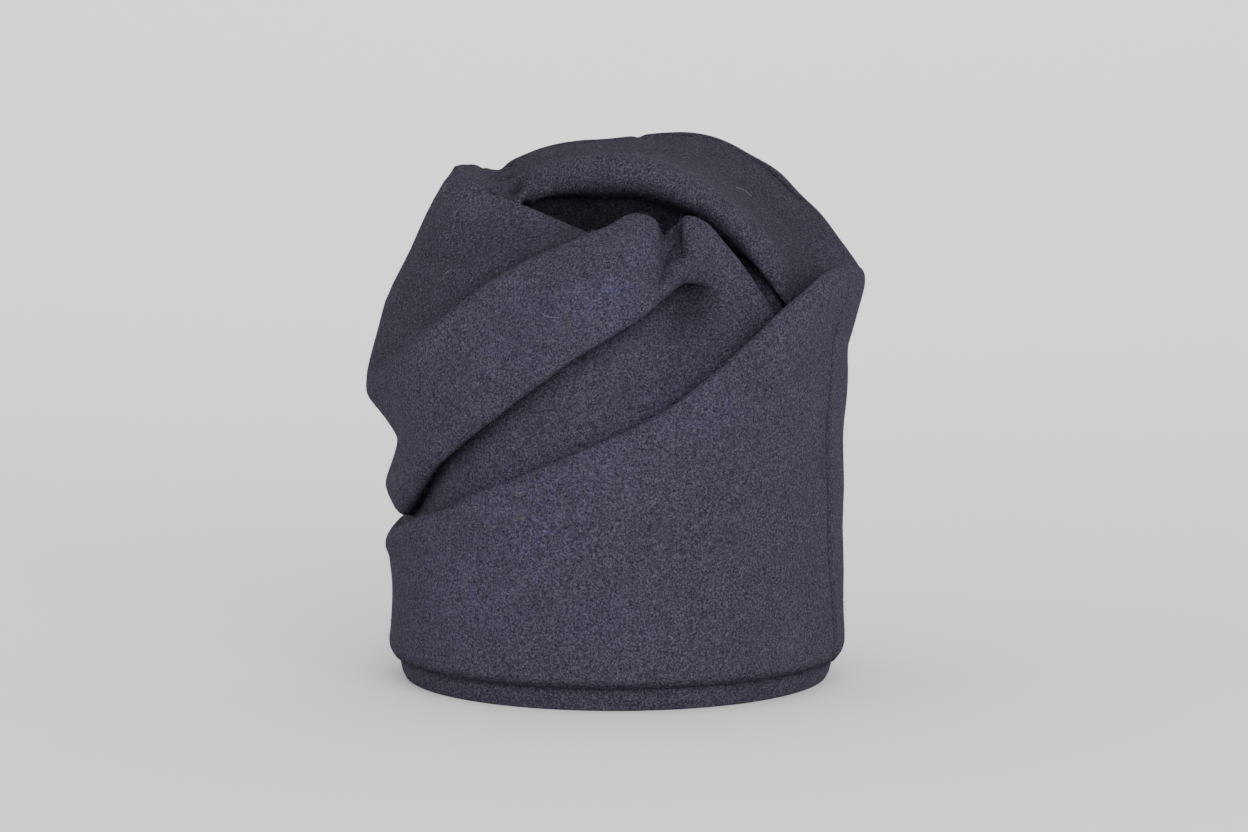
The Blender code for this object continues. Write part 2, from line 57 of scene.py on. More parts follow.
# Bearings in degrees from the front, positive to the right.
CORNER = 80.0            # the right corner, where the wrap's edge runs into the crown's rim
RIGHT_SEAM = 70.0        # where the front drape meets the right back panel
CROWN_SEAM = 98.0        # where their seam rises from the wrap's edge to the crown's rim
BACK_SEAM = 172.0        # where the two back panels meet
LEFT_SEAM = -112.0       # where the left back panel meets the front drape
SEAM_BOW = 5.0           # how far the right seam bows forwards, half way up to the wrap
SEAM_BOW_REACH = 22.0    # how far to each side of that seam the bow fades

# Sizes of the folds, in metres.
LAYER_PITCH = 0.0052     # from one layer of cloth to the next where they lie folded together
HEM_CURL = 0.0020        # how far the shell's lower edge turns in
HEM_ROUND = 0.0045       # height over which it turns in
HEM_EDGE = 0.0012        # how far the shell's lower edge bulges down
SHOULDER = 0.006         # height of the rounded shoulder at each folded edge
POCKET_DEPTH = 0.028     # deepest tuck behind the wrap's folded edge
COVER_DEPTH = 0.011      # most that the pleat's lower edge hangs over the cloth below it
LIP_RISE = 0.012         # height of the swelling above the pleat's lower edge
LIP_SWELL = 0.004        # how far it swells out
FACE_DIP = 0.010         # deepest hollow along the pleat's face
RIDGE_TUCK = 0.008       # how far the cloth tucks in behind the pleat's ridge
UPPER_SWELL = 0.006      # how far the upper fold's face swells out
ROLL_RADIUS = 0.0062     # roundness of the roll that overhangs the well
ROLL_UNDERCUT = 0.012    # how far the cloth goes back under the roll
BOWL_DEPTH = 0.005       # how far the crown sinks between the rim and the roll
SEAM_INSET = 0.0065      # distance of the crown's seam inside the rim

# Sizes of the well that the roll overhangs, and of the head band.
WELL_HALF = 0.040        # half the length of the well's floor
WELL_SLIT = 0.005        # half the width of the well's floor
WELL_ACROSS = 0.018      # middle of the well's floor, to the right of the body's middle
WELL_FRONT = 0.050       # middle of the well's floor, in front of the body's middle
WELL_BEND = 0.009        # how far back the floor bends at its ends
WELL_SKEW = 0.003        # how much further forwards it lies at the right end than in its middle
WELL_STRAIGHT = 0.8      # share of the floor's length along which the roll faces it squarely
WELL_FLOOR = 0.138       # height of the middle of the well's floor
WELL_FALL = 0.008        # how much lower its right end is than its middle
BAND_HEIGHT = 0.026      # whole height of the head band
BAND_WALL = 0.003        # thickness of the head band
BAND_TURN = 0.0018       # how far the band's lower edge turns in
BAND_TURN_HEIGHT = 0.007 # height over which it turns in
BAND_EASE = 0.0008       # rounding of the band's edges

# Each fold line goes once round the hat. Its rows are stations: the bearing of the section that
# crosses the line there, then the place as shares of the half width, half depth and crown height.
WRAP_EDGE = (
    # bearing, across, depth, height
    (-90, -1.015, 0.00, 0.270),
    (-65, -0.930, -0.43, 0.302),
    (-45, -0.730, -0.72, 0.350),
    (-25, -0.435, -0.925, 0.410),
    (-5, -0.095, -1.015, 0.470),
    (15, 0.265, -0.98, 0.543),
    (30, 0.510, -0.88, 0.625),
    (45, 0.730, -0.72, 0.703),
    (60, 0.910, -0.52, 0.755),
    (74, 1.030, -0.27, 0.768),
    (82, 1.070, -0.12, 0.758),
    (90, 1.078, 0.02, 0.735),
    (100, 1.045, 0.18, 0.705),
    (112, 0.985, 0.37, 0.668),
    (140, 0.655, 0.77, 0.563),
    (180, 0.000, 0.985, 0.460),
    (220, -0.645, 0.76, 0.360),
    (250, -0.940, 0.34, 0.284),
)
PLEAT_EDGE = (
    # bearing, across, depth, height
    (-90, -0.975, 0.00, 0.310),
    (-70, -0.935, -0.34, 0.326),
    (-50, -0.783, -0.65, 0.414),
    (-30, -0.508, -0.86, 0.514),
    (-10, -0.180, -0.965, 0.613),
    (3, 0.053, -0.925, 0.671),
    (12, 0.201, -0.845, 0.718),
    (20, 0.307, -0.755, 0.744),
    (27, 0.413, -0.69, 0.732),
    (35, 0.519, -0.67, 0.692),
    (43, 0.615, -0.635, 0.655),
    (50, 0.700, -0.585, 0.635),
    (56, 0.760, -0.50, 0.645),
    (62, 0.800, -0.44, 0.670),
    (68, 0.868, -0.32, 0.715),
    (74, 0.925, -0.24, 0.740),
    (82, 1.017, -0.11, 0.755),
    (90, 1.075, 0.03, 0.748),
    (100, 1.045, 0.18, 0.745),
    (120, 0.890, 0.50, 0.750),
    (150, 0.476, 0.83, 0.721),
    (180, 0.000, 0.90, 0.631),
    (210, -0.476, 0.80, 0.532),
    (240, -0.825, 0.48, 0.405),
    (255, -0.955, 0.25, 0.338),
)
PLEAT_RIDGE = (
    # bearing, across, depth, height
    (-90, -1.090, 0.00, 0.523),
    (-70, -0.984, -0.36, 0.572),
    (-50, -0.772, -0.60, 0.662),
    (-33, -0.466, -0.72, 0.757),
    (-18, -0.233, -0.74, 0.806),
    (-6, -0.042, -0.71, 0.838),
    (3, 0.095, -0.67, 0.862),
    (7, 0.172, -0.65, 0.850),
    (10, 0.222, -0.59, 0.822),
    (13, 0.262, -0.61, 0.845),
    (18, 0.305, -0.60, 0.862),
    (23, 0.380, -0.585, 0.848),
    (28, 0.445, -0.575, 0.815),
    (34, 0.529, -0.575, 0.775),
    (42, 0.620, -0.58, 0.716),
    (50, 0.700, -0.55, 0.665),
    (56, 0.748, -0.485, 0.640),
    (62, 0.785, -0.43, 0.655),
    (68, 0.850, -0.315, 0.690),
    (74, 0.910, -0.23, 0.720),
    (82, 0.998, -0.10, 0.748),
    (90, 1.055, 0.035, 0.757),
    (100, 1.040, 0.18, 0.770),
    (125, 0.783, 0.56, 0.820),
    (155, 0.360, 0.78, 0.833),
    (180, -0.011, 0.81, 0.802),
    (210, -0.444, 0.72, 0.743),
    (240, -0.783, 0.45, 0.631),
    (255, -0.974, 0.22, 0.550),
)
RIM = (
    # bearing, across, depth, height
    (-90, -0.730, 0.02, 0.946),
    (-75, -0.667, -0.17, 0.928),
    (-60, -0.550, -0.31, 0.903),
    (-45, -0.423, -0.39, 0.883),
    (-25, -0.254, -0.46, 0.851),
    (-10, -0.106, -0.51, 0.824),
    (5, 0.053, -0.57, 0.784),
    (20, 0.265, -0.54, 0.757),
    (35, 0.476, -0.52, 0.698),
    (50, 0.685, -0.515, 0.645),
    (56, 0.730, -0.475, 0.635),
    (62, 0.765, -0.42, 0.645),
    (68, 0.820, -0.31, 0.675),
    (74, 0.890, -0.22, 0.700),
    (82, 0.965, -0.09, 0.740),
    (90, 1.025, 0.04, 0.757),
    (100, 1.022, 0.17, 0.786),
    (110, 0.942, 0.29, 0.833),
    (122, 0.815, 0.43, 0.896),
    (135, 0.648, 0.56, 0.950),
    (150, 0.440, 0.66, 0.990),
    (165, 0.212, 0.71, 0.996),
    (180, -0.021, 0.69, 0.986),
    (195, -0.180, 0.64, 0.982),
    (210, -0.339, 0.56, 0.971),
    (225, -0.455, 0.45, 0.950),
    (238, -0.529, 0.37, 0.937),
    (250, -0.635, 0.28, 0.941),
    (260, -0.709, 0.15, 0.946),
)
ROLL_RIDGE = (
    # bearing, across, depth, height
    (-90, -0.434, -0.30, 0.865),
    (-70, -0.402, -0.35, 0.833),
    (-50, -0.339, -0.39, 0.802),
    (-30, -0.233, -0.43, 0.775),
    (-10, -0.063, -0.49, 0.743),
    (10, 0.190, -0.54, 0.712),
    (25, 0.402, -0.53, 0.676),
    (40, 0.582, -0.51, 0.644),
    (50, 0.660, -0.485, 0.620),
    (60, 0.688, -0.46, 0.628),
    (72, 0.710, -0.445, 0.645),
    (85, 0.728, -0.42, 0.685),
    (96, 0.710, -0.40, 0.725),
    (106, 0.677, -0.39, 0.775),
    (116, 0.614, -0.40, 0.820),
    (128, 0.508, -0.42, 0.869),
    (140, 0.392, -0.43, 0.908),
    (155, 0.254, -0.43, 0.937),
    (170, 0.127, -0.41, 0.955),
    (185, 0.000, -0.385, 0.960),
    (200, -0.148, -0.34, 0.959),
    (215, -0.275, -0.28, 0.953),
    (230, -0.360, -0.24, 0.937),
    (240, -0.402, -0.23, 0.921),
    (250, -0.434, -0.26, 0.896),
)

# How strongly each fold is made, by the bearing of the section, as a share of its named size.
FOLD_STRENGTHS = (
    # bearing, turn, pocket, lap, cover, swell, tuck, puff, roll, bowl, dip
    (-112, 0.20, 0.00, 0.20, 0.00, 0.30, 0.00, 0.50, 0.50, 0.20, 0.30),
    (-92, 0.65, 0.00, 0.60, 0.00, 1.00, 0.00, 1.00, 0.20, 0.00, 1.00),
    (-75, 1.00, 0.10, 1.00, 0.10, 0.70, 0.15, 0.80, 0.00, 0.00, 0.60),
    (-60, 1.00, 0.30, 1.00, 0.50, 0.40, 0.50, 0.40, 0.00, 0.00, 0.20),
    (-30, 1.00, 0.60, 1.00, 0.85, 0.20, 1.00, 0.10, 0.00, 0.00, -0.10),
    (3, 1.00, 0.85, 1.00, 1.00, 0.20, 1.00, 0.00, 0.00, 0.00, -0.35),
    (11, 1.00, 0.95, 1.00, 0.70, 0.10, 0.80, 0.00, 0.00, 0.00, 0.15),
    (18, 1.00, 1.00, 0.85, 0.20, 0.00, 0.60, 0.00, 0.00, 0.00, -0.10),
    (28, 1.00, 1.00, 0.15, 0.00, 0.00, 0.50, 0.00, 0.00, 0.00, 0.00),
    (40, 1.00, 0.90, 0.00, 0.00, 0.00, 0.40, 0.00, 0.00, 0.00, 0.10),
    (50, 1.00, 0.75, 0.00, 0.00, 0.00, 0.00, 0.00, 0.00, 0.00, 0.00),
    (60, 1.00, 0.50, 0.00, 0.00, 0.00, 0.00, 0.00, 0.00, 0.00, 0.00),
    (70, 1.00, 0.10, 0.00, 0.00, 0.00, 0.00, 0.00, 0.00, 0.00, 0.00),
    (76, 0.60, 0.00, 0.00, 0.00, 0.00, 0.00, 0.00, 0.00, 0.00, 0.00),
    (84, 0.00, 0.00, 0.00, 0.00, 0.00, 0.00, 0.00, 0.00, 0.20, 0.00),
    (96, 0.00, 0.00, 0.00, 0.00, 0.00, 0.00, 0.00, 0.30, 0.70, 0.00),
    (108, 0.00, 0.00, 0.00, 0.00, 0.00, 0.00, 0.00, 0.80, 0.90, 0.00),
    (120, 0.00, 0.00, 0.00, 0.00, 0.00, 0.00, 0.00, 1.00, 1.00, 0.00),
    (180, 0.00, 0.00, 0.00, 0.00, 0.00, 0.00, 0.00, 1.00, 0.60, 0.00),
    (225, 0.00, 0.00, 0.00, 0.00, 0.00, 0.00, 0.00, 1.00, 1.00, 0.00),
)

# The body below the wrap: how far up each level lies from the hem to the wrap, its size as a share
# of the hem's, and the seam's bow there as a share of its most.
BODY_LEVELS = (
    # height, size, bow
    (0.18, 0.992, 0.45),
    (0.40, 0.988, 0.90),
    (0.62, 0.992, 1.00),
    (0.82, 1.000, 0.60),
)

# Rows of faces from each control point of a section to the next, from the hem up and down the well.
ROWS = (3, 3, 10, 10, 10, 8, 6, 5, 4, 4, 2, 2, 16, 2, 2, 4, 4, 10, 10, 5, 6, 8, 5, 10, 12, 4, 4, 4, 6, 5)
CREST_POINT = 8          # the control point that the seam along the wrap's edge runs through
SEAM_POINT = 23          # the control point that the crown's seam runs through
VALLEY_POINT = 12        # the control point where the cloth comes out of the wrap's pocket
LIP_POINT = 13           # the control point where it meets the cloth under the pleat's lower edge
PLEAT_POINT = 19         # the control point on the pleat's ridge
RIM_POINT = 22           # the control point on the crown's rim
RIDGE_POINT = 25         # the control point on the ridge of the roll above the well
LEFT_RIDGE_MIDDLE = -55  # bearing of the middle of the left fold's ridge
LEFT_RIDGE_REACH = 48    # degrees to each side of it over which it is painted paler

# Painted shade. It stands in for darkness that the photograph shows and the studio light doesn't give.
RIDGE_HIGHLIGHT = 0.3        # painted highlight: shade taken away along two ridges
CROWN_SHADE = 0.28       # shade on the sunk crown
TUCK_SHADE = 0.5         # shade where the cloth tucks in behind the pleat's ridge
FLAP_SHADE = 0.22        # shade on the left fold's upper face
HEM_SHADE = 0.7          # shade at the shell's lower edge and on the band under it
SEAM_SHADE = 0.85        # shade in a seam's groove
WELL_END_FADE = 0.85     # share of the well's shade that is left out at its right end
WELL_END_START = 0.044   # distance to the right of the middle where it begins to be left out
WELL_END_FULL = 0.066    # and where all of that share is

# Seams and waves of the cloth.
SEAM_GROOVE = 0.0014     # half the width of a seam's groove
SEAM_PUFF = 0.0042       # distance of the swell beside it
SEAM_SWELL = 0.3         # height of that swell as a share of the groove's depth
SEAM_FAR = 0.012         # distance past which a seam has no effect
SEAM_LINK = 0.008        # longest step between two neighbouring points of one seam
EDGE_SEAM_FADE = 14      # rows below the wrap's edge over which the right seam fades out
CROWN_SEAM_START = 104.0 # bearing where the crown's seam begins to show
CROWN_SEAM_RISE = 22.0   # degrees over which it comes to its full depth
WAVE_SEED = 7            # seed of the soft waves
WAVE_COUNT = 16          # how many waves are summed
WAVE_SHORTEST = 0.022    # length of the shortest
WAVE_LONGEST = 0.075     # length of the longest
WAVE_START = 0.02        # height above the hem over which they come to their full size

# Rows and sections of the surface.
FRONT_DENSITY = 0.9      # how much closer together the sections stand in front than behind
CORNER_DENSITY = 0.4     # and how much closer still at the right corner
CORNER_REACH = 16.0      # degrees from the right corner over which they do
SEAM_DENSITY = 1.2       # and beside each upright seam
SEAM_REACH = 2.5         # degrees from a seam over which they do
LEAST_ROW = 0.00025      # least distance between two rows of points along a section
SPREAD_ROUNDS = 60       # rounds of pushing those rows apart
BAND_SECTIONS = 220      # sections round the head band

# The shell's pieces: the node of each and its number among the cells of the surface.
DRAPE, RIGHT_PANEL, LEFT_PANEL = 1, 2, 3
SHELL_PIECES = (
    ("front_drape", DRAPE),
    ("right_back_panel", RIGHT_PANEL),
    ("left_back_panel", LEFT_PANEL),
)

# Coarse patterns in the felt.
MOTTLE_SIZE = 0.016      # width of the soft mottling
TUFT_SIZE = 0.0045       # width of the bloom's tufts
GRIT_SIZE = 0.0035       # width of the olive spots

# Loose fibres: name, length, radius, height of the middle and of the end, and first seed.
FIBRES = (
    ("fuzz", 0.0016, 0.00003, 0.0005, 0.0009, 3),
    ("stray", 0.0060, 0.00004, 0.0010, 0.0004, 11),
)
FIBRE_BEND = 0.22        # how far aside the middle's control point lies, as a share of the length
FIBRE_LEAST = 0.5        # smallest fibre, as a share of its kind's size
FIBRE_MOST = 1.3         # largest

# The studio. Lights: name, place, the point that each faces, width and height, and its setting.
LIGHTS = (
    ("backdrop", (0.0, 0.8, 1.9), (0, 1.8, 1.0), (2.6, 0.5), "wall_power"),
    ("front", (0.9, -2.3, 0.9), (0, 0, 0.1), (1.8, 1.4), "front_power"),
    ("left side", (-1.7, -0.7, 0.6), (0, 0, 0.1), (1.2, 1.2), "side_power"),
)
PAPER_FRONT = -6.0       # front end of the paper
PAPER_HALF = 6.0         # half the width of the paper
PAPER_BEND = 0.9         # where it begins to curve up behind, and the radius of the curve
PAPER_TOP = 3.0          # height of its upper end
CAMERA_PLACE = (0.00348, -1.42271, 0.23568)
CAMERA_FALL = 0.09022573  # how far the camera's line of sight falls
CAMERA_RUN = 0.99592134   # over this distance ahead
CAMERA_LENS = 100         # focal length in millimetres
CAMERA_SENSOR = 36        # width of the sensor in millimetres

# Patches with a bluish bloom, placed to look like the photograph: places on the cloth as
# shares of the half width, half depth and crown height, reach across, along and up, and strength.
NAP_PATCHES = (
    # across, depth, height, reach across, reach along, reach up, strength
    (-0.17, -0.88, 0.705, 0.32, 0.40, 0.060, 0.70),
    (-0.03, -0.86, 0.735, 0.11, 0.30, 0.035, 1.00),
    (0.16, -0.80, 0.800, 0.13, 0.30, 0.035, 0.55),
    (-0.45, -0.82, 0.620, 0.30, 0.40, 0.050, 0.50),
    (-0.36, -0.95, 0.330, 0.22, 0.40, 0.110, 0.95),
    (-0.62, -0.85, 0.200, 0.30, 0.50, 0.110, 0.70),
    (-0.10, -1.00, 0.420, 0.22, 0.40, 0.060, 0.60),
    (0.28, -0.97, 0.530, 0.22, 0.40, 0.045, 0.75),
    (-0.05, -1.00, 0.160, 0.30, 0.40, 0.080, 0.35),
)

# Small dents near the tucks: places as above, reach and depth in metres, and shade.
DENTS = (
    # across, depth, height, reach, push, painted shade
    (0.226, -0.610, 0.842, 0.0048, 0.0030, 0.95),
    (0.242, -0.655, 0.824, 0.0048, 0.0032, 1.00),
    (0.265, -0.705, 0.802, 0.0046, 0.0026, 0.95),
    (0.290, -0.700, 0.705, 0.0115, 0.0015, 0.70),
    (-0.510, 0.300, 0.940, 0.0060, 0.0030, 0.35),
    (-0.490, 0.050, 0.930, 0.0060, 0.0040, 0.45),
    (-0.440, -0.200, 0.912, 0.0060, 0.0040, 0.55),
    (-0.710, 0.020, 0.952, 0.0085, 0.0026, 0.00),
)


def length_setting(label, text, value, least=0.0):
    """A setting in metres."""
    return bpy.props.FloatProperty(
        name=label, description=text, default=value, min=least, unit="LENGTH",
    )


def colour_setting(label, text, value):
    """A setting of a colour."""
    return bpy.props.FloatVectorProperty(
        name=label, description=text, subtype="COLOR", size=3, min=0, max=1, default=value,
    )


def amount_setting(label, text, value):
    """A setting of zero or more."""
    return bpy.props.FloatProperty(name=label, description=text, default=value, min=0)


def share_setting(label, text, value):
    """A setting from 0 to 1."""
    return bpy.props.FloatProperty(
        name=label, description=text, subtype="FACTOR", default=value, min=0, max=1,
    )


class TurbanShape(bpy.types.PropertyGroup):
    """Main sizes of the hat's shell."""

    half_width: length_setting("Half width", "Middle to outside at the hem, sideways", 0.0945, 0.05)
    half_depth: length_setting("Half depth", "Middle to outside at the hem, forwards", 0.1005, 0.05)
    crown_height: length_setting("Crown height", "What the fold lines' heights are shares of", 0.222, 0.1)
    hem_height: length_setting("Hem height", "Floor to the hem, without its bulge", 0.0105)
    cloth: length_setting("Cloth", "Thickness of the felted cloth", 0.0025, 0.001)
    softness: length_setting("Fold softness", "How far each turn of the cloth is rounded", 0.0022, 0.0005)
    seam_gap: length_setting("Seam gap", "Gap at the seams, on the middle of the cloth only", 0.0003)
    seam_depth: length_setting("Seam depth", "How deep the seams pull the cloth in", 0.0012)
    unevenness: length_setting("Unevenness", "How far the soft cloth waves in and out", 0.0005)
    sections: bpy.props.IntProperty(
        name="Sections", description="Sections round the hat", default=330, min=60,
    )


class TurbanFelt(bpy.types.PropertyGroup):
    """Colours and surface of the felted wool."""

    ground: colour_setting("Ground", "Dark colour between the fibres", (0.016, 0.014, 0.023))
    fleck: colour_setting("Fleck", "Pale colour of the fibres on the surface", (0.128, 0.108, 0.158))
    bloom: colour_setting("Bloom", "Bluish colour of the bloom's tufts", (0.088, 0.092, 0.205))
    rubbed: colour_setting("Rubbed", "Greyish olive of the spots in the bloom", (0.150, 0.140, 0.125))
    stray: colour_setting("Stray fibre", "Pale colour of the loose fibres", (0.30, 0.29, 0.34))
    fleck_size: length_setting("Fleck size", "Width of a fleck of fibres", 0.00065, 0.0003)
    # The share of its colour that the felt keeps where the painted shade is full.
    well_shade: share_setting("Well shade", "Share of its colour that the felt keeps in full shade", 0.25)
    fuzz_density: amount_setting("Fuzz density", "Short fibres on a square metre of felt", 26000.0)
    stray_density: amount_setting("Stray density", "Loose pale fibres on a square metre", 130.0)
    relief: length_setting("Relief", "Height of the felt's pebbled surface", 0.0005)


class TurbanStage(bpy.types.PropertyGroup):
    """The studio floor and its lights."""

    paper: colour_setting("Paper", "Colour of the studio paper", (0.93, 0.93, 0.93))
    wall_power: amount_setting("Wall light", "Power of the wide light on the backdrop", 10.0)
    front_power: amount_setting("Front light", "Power of the soft light in front", 56.0)
    side_power: amount_setting("Side light", "Power of the soft light at the left", 6.0)
    fill: amount_setting("Fill", "Strength of the light from all round", 1.95)
    overhead_share: share_setting("Overhead share", "Light from straight above, over the fill", 0.2)


# Points, fold lines and sections


def ring(rows, bearings):
    """The rows' columns at any bearings, on a smooth closed curve through the stations."""
    table = np.array(rows, float)
    table = table[np.argsort(table[:, 0] % 360)]
    at = table[:, 0] % 360
    at = np.concatenate([at[-2:] - 360, at, at[:2] + 360])
    values = np.concatenate([table[-2:, 1:], table[:, 1:], table[:2, 1:]])
    step = np.diff(at)[:, None]
    rise = np.diff(values, axis=0) / step
    tangent = (rise[:-1] * step[1:] + rise[1:] * step[:-1]) / (step[1:] + step[:-1])
    wanted = np.asarray(bearings, float) % 360
    low = np.clip(np.searchsorted(at, wanted, side="right") - 1, 1, len(at) - 3)
    width = step[low]
    t = (wanted - at[low])[:, None] / width
    return (
        values[low] * (1 + 2 * t) * (1 - t) ** 2
        + values[low + 1] * (3 - 2 * t) * t**2
        + tangent[low - 1] * width * t * (1 - t) ** 2
        - tangent[low] * width * (1 - t) * t**2
    )


def inside(points, distance, bearings):
    """The points moved level towards the axis, along their sections' bearings."""
    turn = np.radians(bearings)
    out = np.stack([np.sin(turn), -np.cos(turn), 0 * turn], 1)
    return points - out * np.broadcast_to(distance, len(points))[:, None]


def lifted(points, height):
    """The points moved up by the height, or by a height for each."""
    return points + np.outer(np.broadcast_to(height, len(points)), (0, 0, 1))


def fold_line(shape, rows, bearings):
    """A fold line's points in metres, on the middle of the cloth."""
    points = ring(rows, bearings) * (shape.half_width, shape.half_depth, shape.crown_height)
    return inside(points, shape.cloth / 2, bearings)


def body_points(shape, bearings, share, inset, height):
    """Points on the oval body, at that share of its size and that much inside it."""
    turn = np.radians(bearings)
    across = (shape.half_width * share - inset) * np.sin(turn)
    depth = -(shape.half_depth * share - inset) * np.cos(turn)
    return np.stack([across, depth, np.broadcast_to(height, across.shape)], 1)


def well_middle(side):
    """Points along the middle of the well's floor, from its left end at -1 to its right end at 1."""
    across = WELL_ACROSS + WELL_HALF * side
    depth = -WELL_FRONT + WELL_BEND * side**2 - WELL_SKEW * side
    return np.stack([across, depth, WELL_FLOOR - WELL_FALL * side], 1)


def well_floor(bearings):
    """Points round the narrow floor of the well, a slot with blunt ends."""
    turn = np.radians(bearings)
    side = np.sign(np.sin(turn)) * np.sqrt(abs(np.sin(turn)))
    front = np.sign(np.cos(turn)) * np.sqrt(abs(np.cos(turn)))
    return well_middle(side) - np.outer(front, (0, WELL_SLIT, 0))


def section_points(shape, bearings):
    """The control points of each section, from the hem up over the folds and down the well.

    Plain factors are shares of the named sizes beside them."""
    *strengths, dip = ring(FOLD_STRENGTHS, bearings).T
    turn, pocket, lap, cover, swell, tuck, puff, roll, bowl = np.clip(strengths, 0, 1)
    wrap = fold_line(shape, WRAP_EDGE, bearings)
    edge = fold_line(shape, PLEAT_EDGE, bearings)
    pleat = fold_line(shape, PLEAT_RIDGE, bearings)
    rim = fold_line(shape, RIM, bearings)
    ridge = fold_line(shape, ROLL_RIDGE, bearings)
    floor = well_floor(bearings)

    away = (bearings - RIGHT_SEAM + 180) % 360 - 180
    bow = SEAM_BOW * np.exp(-((away / SEAM_BOW_REACH) ** 2))
    hem = shape.hem_height
    height = wrap[:, 2] - hem
    half = shape.cloth / 2
    body = [
        body_points(shape, bearings - bow * lean, size, half, hem + height * level)
        for level, size, lean in BODY_LEVELS
    ]
    depth = POCKET_DEPTH * pocket
    hang = COVER_DEPTH * cover
    back = LAYER_PITCH * turn
    front = LAYER_PITCH * lap
    side = np.clip((ridge[:, 0] - WELL_ACROSS) / WELL_HALF, -WELL_STRAIGHT, WELL_STRAIGHT)
    from_well = (ridge - well_middle(side)) * (1, 1, 0)
    from_well *= (roll / np.linalg.norm(from_well, axis=1))[:, None]
    under = ridge + from_well * ROLL_UNDERCUT
    seam_share = np.minimum(SEAM_INSET / np.linalg.norm(ridge - rim, axis=1), 0.4)[:, None]
    return np.stack([
        body_points(shape, bearings, 1, half + HEM_CURL, hem),
        body_points(shape, bearings, 1, half + HEM_CURL / 4, hem + HEM_ROUND / 3),
        body_points(shape, bearings, 1, half, hem + HEM_ROUND),
        *body,
        lifted(wrap, -SHOULDER),
        inside(wrap, back * 0.5, bearings),
        lifted(inside(wrap, back, bearings), -SHOULDER * pocket),
        lifted(inside(wrap, back * 1.1, bearings), -depth),
        lifted(inside(wrap, back * 1.6, bearings), -depth - SHOULDER * 0.5 * pocket),
        lifted(inside(wrap, back * 2.1, bearings), -depth),
        lifted(inside(edge, front * 2, bearings), hang * 0.8),
        lifted(inside(edge, front * 1.5, bearings), hang + SHOULDER * 0.5 * cover),
        lifted(inside(edge, front, bearings), hang * 0.5),
        inside(edge, front * 0.4, bearings),
        lifted(inside(edge, -LIP_SWELL * swell, bearings), LIP_RISE * (0.3 * lap + 0.7 * swell)),
        inside(edge * 0.4 + pleat * 0.6, FACE_DIP * dip, bearings),
        pleat,
        inside(pleat * 0.9 + rim * 0.1, RIDGE_TUCK * tuck - UPPER_SWELL * puff * 0.5, bearings),
        inside(pleat * 0.6 + rim * 0.4, RIDGE_TUCK * tuck * 0.4 - UPPER_SWELL * puff, bearings),
        rim,
        rim + (ridge - rim) * seam_share,
        lifted((rim + ridge) / 2, -BOWL_DEPTH * bowl),
        ridge,
        lifted(ridge - from_well * ROLL_RADIUS * 0.7, -ROLL_RADIUS * roll),
        lifted(ridge, -ROLL_RADIUS * roll * 2),
        lifted(under, -ROLL_RADIUS * roll * 2.4),
        under * 0.45 + floor * 0.55,
        floor,
    ], 1)


def softened(section, softness):
    """A section's line with its turns rounded, as dense points, and how far along each lies."""
    lengths = np.concatenate([[0], np.cumsum(np.linalg.norm(np.diff(section, axis=0), axis=1))])
    along = np.linspace(0, lengths[-1], int(lengths[-1] / (softness / 4)))
    dense = np.stack([np.interp(along, lengths, column) for column in section.T], 1)
    reach = int(3 * softness / along[1])
    weights = np.exp(-0.5 * (np.arange(-reach, reach + 1) * 3 / reach) ** 2)
    weights /= weights.sum()
    before = 2 * dense[0] - dense[reach:0:-1]
    after = 2 * dense[-1] - dense[-2 : -reach - 2 : -1]
    longer = np.concatenate([before, dense, after])
    smooth = np.stack([np.convolve(column, weights, "valid") for column in longer.T], 1)
    return smooth, along, lengths


def spread(places):
    """The places along a section, pushed apart where rows would lie closer than the least."""
    ends = places[0], places[-1]
    for _ in range(SPREAD_ROUNDS):
        push = np.maximum(LEAST_ROW - np.diff(places), 0) / 2
        places[1:] += push
        places[:-1] -= push
        places[0], places[-1] = ends
    return places


def shell_surface(shape, bearings):
    """The middle of the cloth, as points by section and row, and the rows of the panels' tops."""
    wanted = control_rows()
    crest_row = sum(ROWS[:CREST_POINT])
    seam_row = sum(ROWS[:SEAM_POINT])
    sections = []
    for section in section_points(shape, bearings):
        smooth, along, lengths = softened(section, shape.softness)
        places = np.interp(wanted, np.arange(len(lengths)), lengths)
        places = np.concatenate([spread(places[: seam_row + 1]), spread(places[seam_row:])[1:]])
        sections.append(np.stack([np.interp(places, along, column) for column in smooth.T], 1))
    return np.array(sections), crest_row, seam_row


def section_bearings(shape):
    """Bearings of the sections, closest together in front and at the seams, one on each seam."""
    seams = (RIGHT_SEAM, CROWN_SEAM, BACK_SEAM, LEFT_SEAM % 360)
    fine = np.arange(0, 360, 0.25)
    density = 1 + FRONT_DENSITY * (1 + np.cos(np.radians(fine))) / 2
    density += CORNER_DENSITY * np.exp(-(((fine - CORNER) / CORNER_REACH) ** 2))
    for seam in seams:
        density += SEAM_DENSITY * np.exp(-(((fine - seam) / SEAM_REACH) ** 2))
    share = np.cumsum(density) / density.sum()
    bearings = np.interp(np.arange(shape.sections) / shape.sections, share, fine)
    for seam in seams:
        bearings[np.argmin(abs(bearings - seam))] = seam
    return bearings


def face_corners(i, k, columns):
    """The grid points round a face, outwards, from the one at its section and row."""
    j = (i + 1) % columns
    return (i, k), (j, k), (j, k + 1), (i, k + 1)


def grid_normals(grid):
    """A unit vector out of the cloth at each point of the grid."""
    around = np.roll(grid, -1, 0) - np.roll(grid, 1, 0)
    up = np.gradient(grid, axis=1)
    normals = np.cross(around, up)
    return normals / np.maximum(np.linalg.norm(normals, axis=2), 1e-12)[:, :, None]


